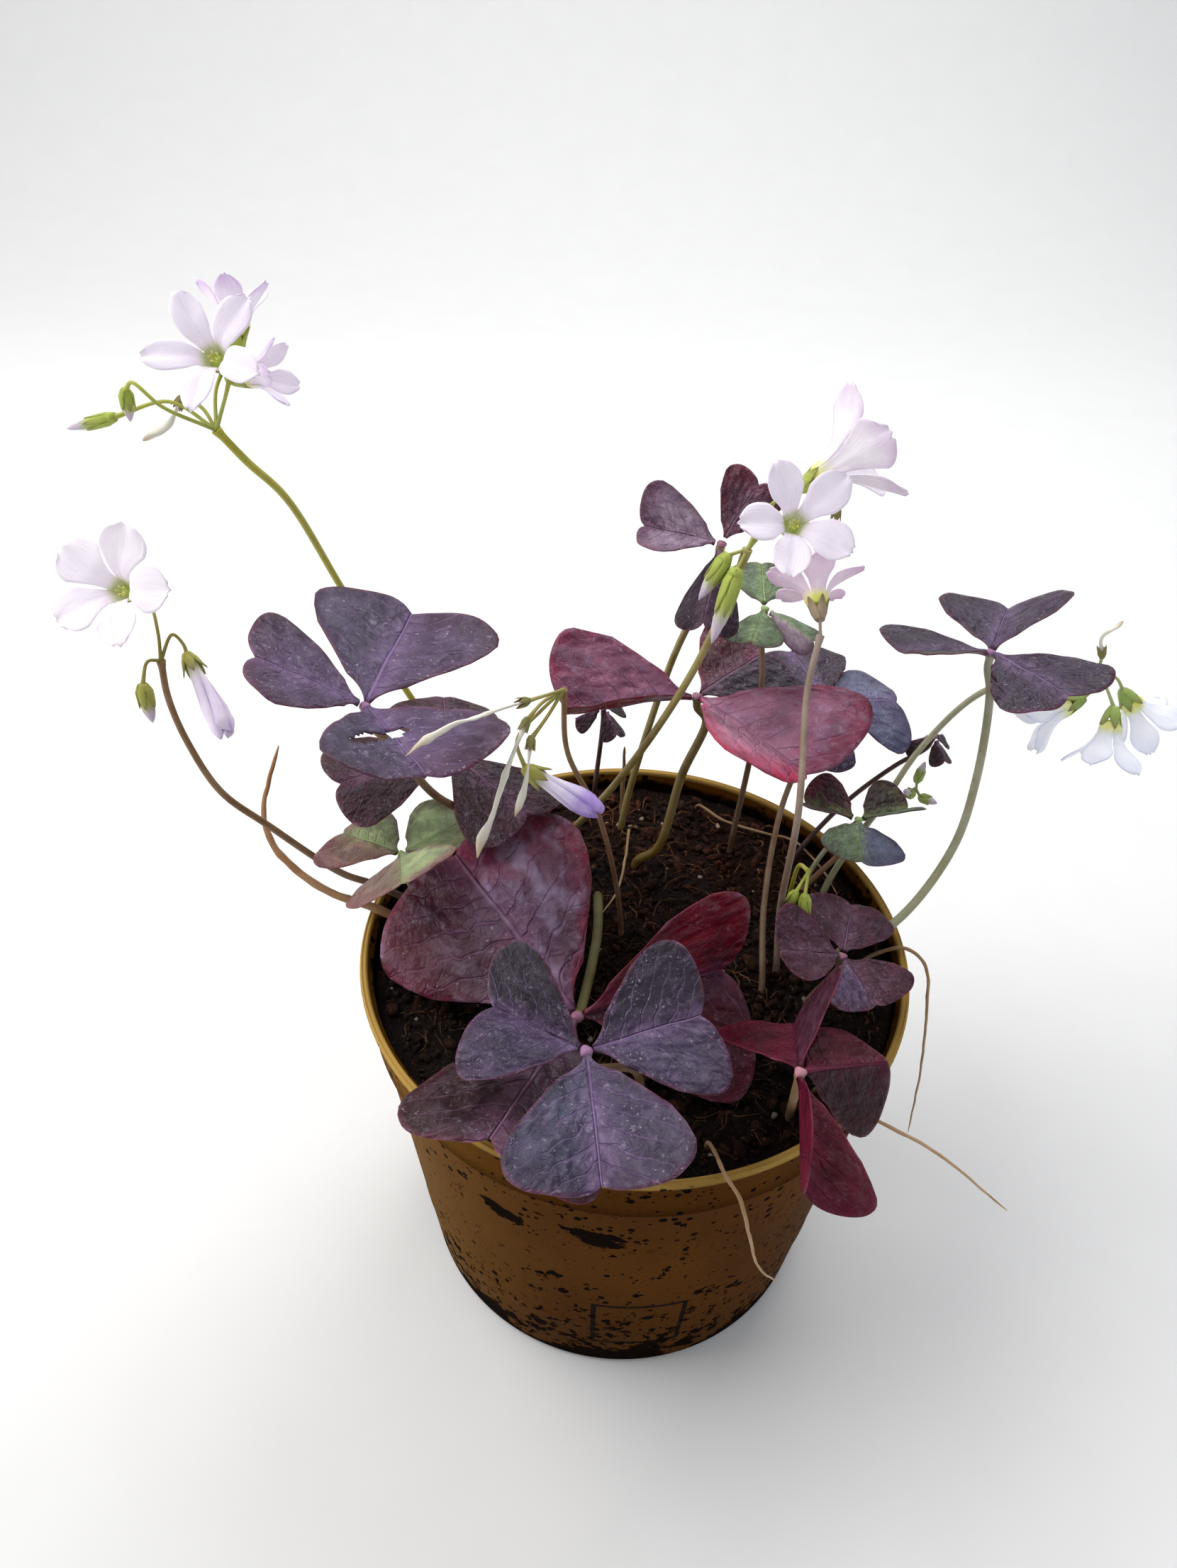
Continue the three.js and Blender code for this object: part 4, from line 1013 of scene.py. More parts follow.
# %% The leaves of this plant
# Leaflets: turn, rise, fold of the right lobe, fold of the left lobe, share of the size, half angle.
LEAVES = [
    dict(name="leaf_front", hub=(-11, -53, 133), foot=(1, -44), size=32,
         spread=46, stem=1, stalk="petiole",
         via=[(-1, -46, 118)],
         leaflets=[(149, -1, -70, 5, 0.76, 50),
                   (24, 1, 5, -40, 0.85, 45),
                   (277, 3, -15, -22, 0.97, 41)]),
    dict(name="leaf_large", hub=(-13, -33, 118), foot=(-9, 18), size=44,
         spread=43, stem=1.3, stalk="olive",
         via=[(-9, 0, 107)],
         leaflets=[(130, 18, 0, 42, 1.18),
                   (246, 14, 12, 14, 0.96, 38),
                   (28, -2, 26, -96, 0.92, 52)]),
    dict(name="leaf_green", hub=(-55, 6, 126), foot=(-44, -2), size=20,
         spread=46, stem=0.9, stalk="petiole",
         via=[],
         leaflets=[(45, 0, -15, 0, 1.05), (150, -5, 0, -5, 1), (280, 28, 20, -30, 1.1)]),
    dict(name="leaf_left", hub=(-59, 4, 170), foot=(-29, 17), size=33,
         spread=41, stem=1.05, stalk="petiole",
         via=[(-31, 18, 122), (-47, 13, 138), (-55, 7, 158)],
         leaflets=[(188, 36, -9, -15, 0.81, 45),
                   (81, 6, 2, -18, 1.14, 41),
                   (302, 10, -32, -11, 1.03, 43)]),
    dict(name="leaf_shaded", hub=(-46, 29, 138), foot=(-36, 25), size=27,
         spread=40, stem=0.9, stalk="brown",
         via=[(-37, 27, 122)],
         leaflets=[(205, 2, 0, 0, 1.1), (100, 0, 20, 5, 1), (320, -5, 0, 10, 1.07)]),
    dict(name="leaf_middle", hub=(13, 39, 150), foot=(1, 31), size=35,
         spread=46, stem=1.2, stalk="gold",
         via=[(6, 30, 108), (11, 36, 128), (16, 40, 142)],
         leaflets=[(198, 5, -48, -46, 1, 41), (310, 2, -36, -24, 1.14), (45, 6, 20, -18, 0.8, 42)]),
    dict(name="leaf_olive", hub=(27, 44, 172), foot=(26, 38), size=14,
         spread=40, stem=0.8, stalk="petiole",
         via=[(28, 39, 135), (28, 39.5, 155)],
         leaflets=[(91, 25, 15, 12, 1.03), (252, -2, 0, -10, 1.02, 35), (332, -16, -5, 15, 1.05)]),
    dict(name="leaf_top", hub=(15, 41, 190), foot=(-3, 45), size=21,
         spread=46, stem=1, stalk="khaki",
         via=[(-1, 47, 115), (7, 52, 150)],
         leaflets=[(178, 14, -70, -5, 0.92, 39),
                   (45, 50, 30, -30, 0.8, 32),
                   (254, -42, 36, 40, 0.95, 34)]),
    dict(name="leaf_blue", hub=(47, 54, 140), foot=(30, -10), size=25,
         spread=46, stem=0.8, stalk="petiole",
         via=[(31, 8, 112), (36, 30, 124)],
         leaflets=[(18, -10, 20, 0, 1), (108, 5, 5, 10, 0.95), (250, -20, 10, 10, 0.8)]),
    dict(name="leaf_right", hub=(77, 32, 170), foot=(50, 2), size=26,
         spread=40, stem=1.1, stalk="sage",
         via=[(62, 4, 111), (77, 20, 121), (80, 26, 138), (79, 31, 160)],
         leaflets=[(195, 11, 4, -36, 0.93, 46), (66, 0, -38, -4, 1, 45), (298, 11, -2, -8, 0.98, 43)]),
    dict(name="leaf_small", hub=(55, 28, 122), foot=(43, 22), size=15,
         spread=50, stem=0.8, stalk="brown",
         via=[],
         leaflets=[(155, 2, -25, -40, 1.02), (20, 3, -45, -15, 1.04), (265, 1, -20, -5, 1.06)]),
    dict(name="leaf_low", hub=(47, -10, 114), foot=(40, -14), size=17,
         spread=46, stem=0.8, stalk="petiole",
         via=[],
         leaflets=[(190, 20, -35, -15, 1.03), (75, 7, 10, -10, 1.05), (290, 6, -15, -25, 1)]),
    dict(name="leaf_crimson", hub=(30, -54, 130), foot=(33, -44), size=29,
         spread=42, stem=1, stalk="brown",
         via=[],
         leaflets=[(82, -27, -65, 8, 0.98), (27, -20, 60, 15, 0.95), (264, 2, -92, 20, 0.95)]),
    dict(name="leaf_young_back", hub=(-9, 56, 133), foot=(-11, 52), size=9,
         spread=36, stem=0.7, stalk="dusky",
         via=[],
         leaflets=[(180, -25, 35, 35, 1), (60, -20, 35, 35, 1), (300, -25, 35, 35, 1)]),
    dict(name="leaf_young_right", hub=(76, 50, 132), foot=(43, 35), size=8,
         spread=36, stem=0.7, stalk="dusky",
         via=[(50, 40, 110), (58, 45, 116), (68, 49, 123)],
         leaflets=[(170, -25, 35, 35, 1), (50, -25, 35, 35, 1), (290, -20, 35, 35, 1)]),
]

# %% [markdown]
# One plant has leaves of many tones: slate blue where the sky shines on them, plum, wine and bright
# crimson where light comes through, and green on the young ones. The tint named shade is a darker
# slate, painted shade for lobes that lie in shade. Each lobe of a leaflet gets a body tint and a rim
# tint by name, and each leaf has one tint for its underside.

# %% The colours of each leaf
BLADE_TINTS = {  # body and rim
    "slate": ("#3a3149", "#37293f"),
    "steel": ("#393a4e", "#32293e"),
    # painted shade: slate darkened for lobes that lie in shade
    "shade": ("#2c2631", "#2e2431"),
    "grape": ("#4f3e5a", "#462b3f"),
    "aubergine": ("#312036", "#2e1b2b"),
    "dusk": ("#33222f", "#2b1a26"),
    "haze": ("#a591a2", "#6a4a5e"),
    "plum": ("#4c2a38", "#451c2b"),
    "mauve": ("#96637c", "#7d2f4a"),
    "ash": ("#5e3f55", "#7d1c34"),
    "maroon": ("#421c2d", "#5c162b"),
    "wine": ("#290d14", "#340f19"),
    "umber": ("#301a1c", "#38171c"),
    "crimson": ("#460c1b", "#580f25"),
    "garnet": ("#4c0a1d", "#5c0f27"),
    "scarlet": ("#7d0d22", "#6a0a1e"),
    "rose": ("#b98098", "#b01c48"),
    "fern": ("#bddc9a", "#8a8560"),
    "moss": ("#a0b27c", "#805e54"),
    "bark": ("#84695c", "#7c4a4c"),
    "pine": ("#6d8562", "#4c5843"),
    "mist": ("#5f657f", "#464862"),
}
LEAF_TINTS = {  # right and left lobe of each leaflet, and the underside
    "leaf_front": ([("shade", "slate"), ("slate", "shade"), ("steel", "slate")], "#551a30"),
    "leaf_large": ([("ash", "maroon"), ("wine", "wine"), ("crimson", "scarlet")], "#7a0d24"),
    "leaf_green": ([("moss", "fern"), ("moss", "bark"), ("bark", "moss")], "#64504c"),
    "leaf_left": ([("grape", "grape"), ("grape", "slate"), ("slate", "grape")], "#4a0f22"),
    "leaf_shaded": ([("umber", "wine"), ("umber", "umber"), ("wine", "umber")], "#3c0f19"),
    "leaf_middle": ([("mauve", "plum"), ("rose", "mauve"), ("shade", "crimson")], "#780a28"),
    "leaf_olive": ([("pine", "pine"), ("pine", "pine"), ("haze", "pine")], "#5a4048"),
    "leaf_top": ([("haze", "haze"), ("maroon", "maroon"), ("dusk", "dusk")], "#551024"),
    "leaf_blue": ([("mist", "mist"), ("dusk", "shade"), ("mist", "slate")], "#3c2230"),
    "leaf_right": (
        [("aubergine", "wine"), ("aubergine", "aubergine"), ("aubergine", "aubergine")], "#5a0c20"
    ),
    "leaf_small": ([("maroon", "umber"), ("pine", "umber"), ("pine", "mist")], "#4a1824"),
    "leaf_low": ([("plum", "plum"), ("plum", "plum"), ("grape", "plum")], "#5c2038"),
    "leaf_crimson": ([("plum", "crimson"), ("wine", "crimson"), ("crimson", "garnet")], "#5e1029"),
    "leaf_young_back": ([("wine", "wine"), ("umber", "umber"), ("wine", "wine")], "#4a1420"),
    "leaf_young_right": ([("wine", "umber"), ("wine", "wine"), ("umber", "wine")], "#4a1420"),
}

# %% [markdown]
# A lobe's outline is a smooth curve through a few distances from the joint, from the notch at the
# tip round to the side. The leaflet is made flat first. Its two lobes then turn down about the
# midrib by their own folds, and the whole leaflet bends along its length.

# %% The shape of a leaflet
LOBE = np.array([(0, 0.9), (0.12, 0.96), (0.38, 1.02), (0.68, 1.04), (0.89, 0.95), (1, 0.7)])
LEAF_ROOT, LEAF_CLAW, LEAF_BEND, LEAF_CUP, LEAF_RIPPLE = 1.6, 0.5, 8, 0.1, 0.012
padded = np.pad(LOBE, ((1, 1), (0, 0)), "edge")
LOBE_SLOPES = (padded[2:, 1] - padded[:-2, 1]) / (padded[2:, 0] - padded[:-2, 0])


def lobe_reach(share):
    """How far the leaflet's edge lies from the joint, from the notch (0) to the side (1)."""
    share = np.clip(share, 0, 1)
    i = np.clip(np.searchsorted(LOBE[:, 0], share, "left") - 1, 0, len(LOBE) - 2)
    gap = LOBE[i + 1, 0] - LOBE[i, 0]
    u = (share - LOBE[i, 0]) / gap
    return (
        (2 * u**3 - 3 * u**2 + 1) * LOBE[i, 1] + (u**3 - 2 * u**2 + u) * LOBE_SLOPES[i] * gap
        + (-2 * u**3 + 3 * u**2) * LOBE[i + 1, 1] + (u**3 - u**2) * LOBE_SLOPES[i + 1] * gap
    )


def leaflet_points(size, spread, fold_right, fold_left, s, t):
    """Points of a leaflet that lies along +X, and their unfolded places as shares of its size."""
    reach = LEAF_ROOT + (size * lobe_reach(np.abs(s)) - LEAF_ROOT) * t
    narrowing = LEAF_CLAW + (1 - LEAF_CLAW) * np.minimum(1, 3 * t)
    angle = np.radians(spread) * s * narrowing
    x, y = reach * np.cos(angle), reach * np.sin(angle)
    fold = np.radians(np.where(s < 0, fold_right, fold_left))
    droop = fold + LEAF_CUP * np.abs(y) / size
    wave = LEAF_RIPPLE * size * t * t * np.sin(9 * s + size)
    down = -np.abs(y) * np.sin(droop) + wave
    bend = math.radians(LEAF_BEND) / size
    point = np.stack([
        np.sin(bend * x) / bend + down * np.sin(bend * x),
        y * np.cos(droop),
        -(1 - np.cos(bend * x)) / bend + down * np.cos(bend * x),
    ], -1)
    return point, np.stack([y / size, x / size], -1)


ACROSS, ALONG = 40, 26
across_steps = np.linspace(-1, 1, ACROSS + 1)
across_steps = np.sign(across_steps) * np.abs(across_steps) ** 1.15
along_steps = np.linspace(0, 1, ALONG + 1) ** 0.85
GRID_S, GRID_T = flat_grid(across_steps, along_steps)


# %% [markdown]
# An old leaf can be torn. A hole is cut in the grid before it becomes a sheet, so that its edge gets
# a rim like the outer one. The tint is worked out for every point: the body's tone gives way to the
# rim's near the edge, noise clouds it, and a thin reddish border runs round the blade.

# %% Tears and tints of a blade
def torn(quads, flat, holes):
    """The faces that are left when every hole is cut out."""
    for cx, cy, wide, tall, lean in holes:
        middle = flat[quads].mean(1) - (cx, cy)
        along = middle[:, 0] * math.cos(lean) + middle[:, 1] * math.sin(lean)
        aside = -middle[:, 0] * math.sin(lean) + middle[:, 1] * math.cos(lean)
        quads = quads[(along / wide) ** 2 + (aside / tall) ** 2 > 1]
    return quads


TEARS = {  # ellipses in a leaflet: middle, half length, half width, lean
    ("leaf_left", 2): [(-0.19, 0.52, 0.17, 0.05, -0.5), (0.03, 0.425, 0.07, 0.055, 0.0)],
}
BORDER_TINT = rgb("#a5566a")


def blade_tint(lobes, s, t, flat, seed):
    """Colour of the upper face: body to rim, and the two lobes meet softly at the midrib."""
    right_body, right_rim = (rgb(code) for code in BLADE_TINTS[lobes[0]])
    left_body, left_rim = (rgb(code) for code in BLADE_TINTS[lobes[1]])
    side = smoothstep(s, -0.06, 0.06)
    cloud = lumps(np.column_stack([flat * 4, np.full(len(s), seed)]), 1.0)
    edge = np.maximum(smoothstep(t, 0.62, 1.02), 0.8 * smoothstep(np.abs(s), 0.7, 1.02))
    edge = np.clip(edge + 0.3 * cloud, 0, 1)
    rim = mix(right_rim, left_rim, side)
    blade = mix(mix(right_body, left_body, side), rim, edge) * (1 + 0.22 * cloud[:, None])
    border = 0.55 * smoothstep(np.maximum(t, np.abs(s)), 0.965, 1.0)
    return mix(blade, 0.6 * rim + 0.4 * BORDER_TINT, border)


# %% [markdown]
# Now the leaflet itself: its points are made, rippled by two sizes of noise and turned to their
# place. It is thickest at the joint and along the midrib, and thin at its edge.

# %% One leaflet
def add_leaflet(form, leaf, number, hub):
    turn, rise, fold_right, fold_left, share, *half = leaf["leaflets"][number]
    size = leaf["size"] * share
    spread = half[0] if half else leaf["spread"]
    s, t = GRID_S, GRID_T
    points, flat = leaflet_points(size, spread, fold_right, fold_left, s, t)
    seed = len(leaf["name"]) * 3.1 + number * 7.7 + leaf["size"]
    spots = np.column_stack([flat * size, np.full(len(flat), seed)])
    waves = 0.02 * size * lumps(spots, 0.22 * size) + 0.2 * lumps(spots, 3.2, 3.0)
    points[:, 2] += waves * smoothstep(t, 0.05, 0.5)
    turned = Matrix.Rotation(math.radians(turn), 3, "Z") @ Matrix.Rotation(-math.radians(rise), 3, "Y")
    points = points @ np.array(turned).T + hub
    rib = np.exp(-((flat[:, 0] * size / 0.5) ** 2)) * (1 - t)
    thick = 0.34 + 0.75 * np.exp(-t / 0.05) + 0.45 * rib
    thick *= np.where((t > 0.999) | (np.abs(s) > 0.999), 0.55, 1)
    quads = torn(grid_faces(ALONG + 1, ACROSS + 1), flat, TEARS.get((leaf["name"], number), []))
    used, quads = np.unique(quads, return_inverse=True)
    quads = quads.reshape(-1, 4)
    points, flat, thick, s, t = points[used], flat[used], thick[used], s[used], t[used]
    both, faces = sheet(points, quads, thick)
    lobes, under = LEAF_TINTS[leaf["name"]]
    upper = blade_tint(lobes[number], s, t, flat, seed)
    lower = rgb(under) * (0.8 + 0.4 * t[:, None])
    place = np.column_stack([flat, np.full(len(flat), seed)])
    form.add(both, faces, np.vstack([upper, lower]), np.repeat([0.0, 1.0], len(flat)),
             np.vstack([place, place]))


# %% [markdown]
# Veins leave the midrib and run to the rim, branch and join in a net. They are drawn in the
# leaflet's own flat measure, so they follow the fold. The tissue between the veins is slightly
# raised, which gives the blade its quilted shine, and dried water leaves pale spots on it.

# %% The veined blade group
blade, given, taken = shader_group(
    "veined_blade",
    [("Rib tint", "colour", (0.3, 0.2, 0.4)), ("Veins", "float", 1.0), ("Spots", "float", 0.3),
     ("Bloom", "float", 0.6)],
    [("Color", "colour"), ("Roughness", "float"), ("Height", "float")],
)
tint = blade.read("tint", "Color")
under = blade.read("under")
place = blade.read("place", "Vector")
across, along, seed = blade.parts(place)
wander = blade.minus(blade.noise(place, 6.0, 2.0), 0.5)
aside = blade.absolute(across)
VEIN_SPACING = 0.13  # in shares of the leaflet's size
slanted = blade.minus(along, blade.times(aside, 0.62))
slanted = blade.plus(slanted, blade.times(wander, VEIN_SPACING))
saw = blade.math("FRACT", blade.math("DIVIDE", slanted, VEIN_SPACING))
ridge = blade.times(blade.absolute(blade.minus(saw, 0.5)), 2.0)
side_veins = blade.ease(ridge, 0.8, 1.0)
side_veins = blade.times(side_veins, blade.ease(aside, 0.55, 0.05, 0.2, 1.0))
midrib = blade.ease(aside, blade.ease(along, 0.0, 1.0, 0.024, 0.012), 0.002)
swirl = blade.times(wander, 0.12)
bent_place = blade.vector(blade.plus(across, swirl), blade.minus(along, swirl), seed)
net = blade.ease(blade.cells(bent_place, 17.0, "DISTANCE_TO_EDGE"), 0.09, 0.0)
net = blade.times(net, blade.ease(blade.noise(place, 5.0, 2.0), 0.45, 0.65))
veins = blade.largest(midrib, blade.times(side_veins, 0.5), blade.times(net, 0.3))
halo = blade.ease(aside, 0.2, 0.0, 0.0, 0.36)
halo = blade.times(halo, blade.ease(blade.noise(place, 9.0, 3.0), 0.35, 0.65, 0.3, 1.0))
glow = blade.largest(blade.times(veins, 0.62), halo)
glow = blade.times(glow, given["Veins"], clamp=True)
glow = blade.times(glow, blade.ease(under, 0.2, 0.8, 1.0, 0.35))

# %% [markdown]
# Under the veins the blade is mottled, lighter in some parts and darker in others. A pale bluish
# sheen is painted on the raised tissue, as painted highlights on its puckers. It shows on the blue
# and purple blades, and hardly on the others.

# %% Tone and painted sheen of the blade
mottle = blade.noise(place, 38.0, 3.0, 0.6)
broad = blade.noise(place, 5.5, 2.0, 0.5)
shaded = blade.blend(blade.ease(mottle, 0.3, 0.7), (0.93, 0.92, 0.93), (1.05, 1.05, 1.05))
colour = blade.dyed(tint, shaded)
shaded = blade.blend(blade.ease(broad, 0.35, 0.65), (0.74, 0.68, 0.74), (1.18, 1.16, 1.18))
colour = blade.dyed(colour, shaded)
puckered = blade.vector(blade.times(across, 1.5), blade.scaled(aside, -0.6, along), seed)
pillow = blade.noise(puckered, 7.5, 1.0, 0.4)
crinkle = blade.noise(place, 24.0, 2.0, 0.5)
# Painted highlight: a pale lilac sheen on the raised tissue, strongest on bluish tints.
bloom = blade.times(blade.ease(pillow, 0.45, 0.72), blade.ease(crinkle, 0.35, 0.6, 0.72, 1.0))
bloom = blade.times(bloom, blade.ease(under, 0.2, 0.8, 0.3, 0.0))
blueness = blade.put("ShaderNodeSeparateColor", {0: tint}).outputs[2]
bloom = blade.times(bloom, blade.ease(blueness, 0.008, 0.07, 0.08, 1.0))
bloom = blade.times(bloom, given["Bloom"])
colour = blade.blend(bloom, colour, rgb("#9d8fae"))
colour = blade.blend(glow, colour, given["Rib tint"])

# %% [markdown]
# Dried water leaves soft stains and small sharp drops on the upper face only. Where they lie, the
# blade is duller. The relief sinks the veins and raises the tissue between them.

# %% Stains, shine and relief of the blade
dried = specks(blade, place, 15.0, 0.13, 0.16)
drops = specks(blade, place, 40.0, 0.11, 0.06)
gathered = blade.ease(blade.noise(place, 3.2, 2.0), 0.47, 0.6, 0.06, 1.0)
stain = blade.largest(blade.times(dried, 0.5), blade.times(drops, gathered))
stain = blade.times(stain, given["Spots"])
stain = blade.times(stain, blade.minus(1.0, under))
colour = blade.blend(stain, colour, rgb("#b3a8bd"))
blade.feed(taken["Color"], colour)
rough = blade.ease(mottle, 0.25, 0.75, 0.4, 0.54)
blade.feed(taken["Roughness"], blade.scaled(stain, 0.3, rough))
sunk = blade.scaled(veins, -0.35, pillow)
sunk = blade.scaled(crinkle, 0.24, sunk)
blade.feed(taken["Height"], blade.scaled(mottle, 0.04, sunk))
BLADE_GROUP = blade.tree


def blade_finish(name, rib, veins, spots, bloom, quilted, shine=0.32):
    material, wires, sockets = finish(name, Specular_IOR_Level=shine)
    feeds = {"Rib tint": (*rgb(rib), 1), "Veins": veins, "Spots": spots, "Bloom": bloom}
    out = placed_group(wires, BLADE_GROUP, feeds)
    wires.feed(sockets["Base Color"], out["Color"])
    wires.feed(sockets["Roughness"], out["Roughness"])
    relief(wires, sockets, out["Height"], quilted)
    return material


# Each skin's third number is the strength of the painted sheen on the raised tissue.
BLADE_SKINS = {
    "leaf_slate": blade_finish("leaf_slate", "#9c7cae", 1.0, 0.85, 0.42, 1.2),
    "leaf_maroon": blade_finish("leaf_maroon", "#a06f96", 0.9, 0.45, 1.9, 2.6, 0.34),
    "leaf_plum": blade_finish("leaf_plum", "#b388a6", 0.7, 0.75, 0.8, 1.5, 0.3),
    "leaf_crimson": blade_finish("leaf_crimson", "#8a3558", 0.5, 0.12, 0.4, 1.3, 0.14),
    "leaf_green": blade_finish("leaf_green", "#b2cc86", 0.95, 0.15, 0.4, 0.9),
}
HUB_TINTS = {"leaf_green": "#9fb36a", "leaf_olive": "#8ea866", "leaf_small": "#8ea866",
             "leaf_crimson": "#c99aa0"}


# %% [markdown]
# The joint under the three leaflets is a small swollen knob, the place where the leaf folds at
# night. The petiole rises from the peat, bends towards the leaf and ends in that knob.

# %% Building every leaf
def knob(form, centre, radius, tint, seed):
    points, faces = lathe([(0, -0.8), (0.6, -0.62), (0.95, -0.2), (1, 0.15), (0.7, 0.5), (0, 0.62)], 16)
    points = np.array(points)
    angle = np.arctan2(points[:, 1], points[:, 0])
    points *= radius * (1 + 0.1 * np.cos(3 * angle) + 0.12 * lumps(points, 0.6, seed))[:, None]
    form.add(points + centre, faces, tint)


def petiole_path(leaf):
    hub = np.array(leaf["hub"], float)
    points = rising(leaf["foot"], leaf["via"])
    last = np.array(points[-1], float)
    neck = (last - hub) * (0.12, 0.12, 0)
    drop = min(8, 0.4 * (hub[2] - last[2]))
    neck_point = hub + neck - (0, 0, drop)
    heading = (hub - neck_point) / np.linalg.norm(hub - neck_point)
    return smooth_path([*points, neck_point, hub - heading * 0.4])


for leaf in LEAVES:
    hub = np.array(leaf["hub"], float)
    form = Form()
    for number in range(3):
        add_leaflet(form, leaf, number, hub)
    knob_tint = rgb(HUB_TINTS.get(leaf["name"], "#945a5e"))
    knob(form, hub, 0.8 + 0.014 * leaf["size"], knob_tint, leaf["size"])
    node = leaf["name"] + "_blades"
    dress(form.piece("shown_" + node, BLADE_SKINS[SLOT_OF[node]]), node)
    path = petiole_path(leaf)
    radii = taper(len(path), leaf["stem"])
    radii[-4:] *= (1.05, 1.2, 1.3, 1.15)
    node = leaf["name"] + "_petiole"
    strand = (path, radii, strand_tints(leaf["stalk"], len(path)))
    dress(stem_piece("shown_" + node, [strand], SLOT_OF[node]), node)
print("leaves:", len(LEAVES))

# %% [markdown]
# ## Flowers
# Five petals grow out of one short tube and open flat. The tube is yellow-green inside, and ten
# stamens stand in it. Each petal is a sheet with a lengthwise crease, a slight twist and a crinkled
# tip. A furled flower is the same petals wound round each other.

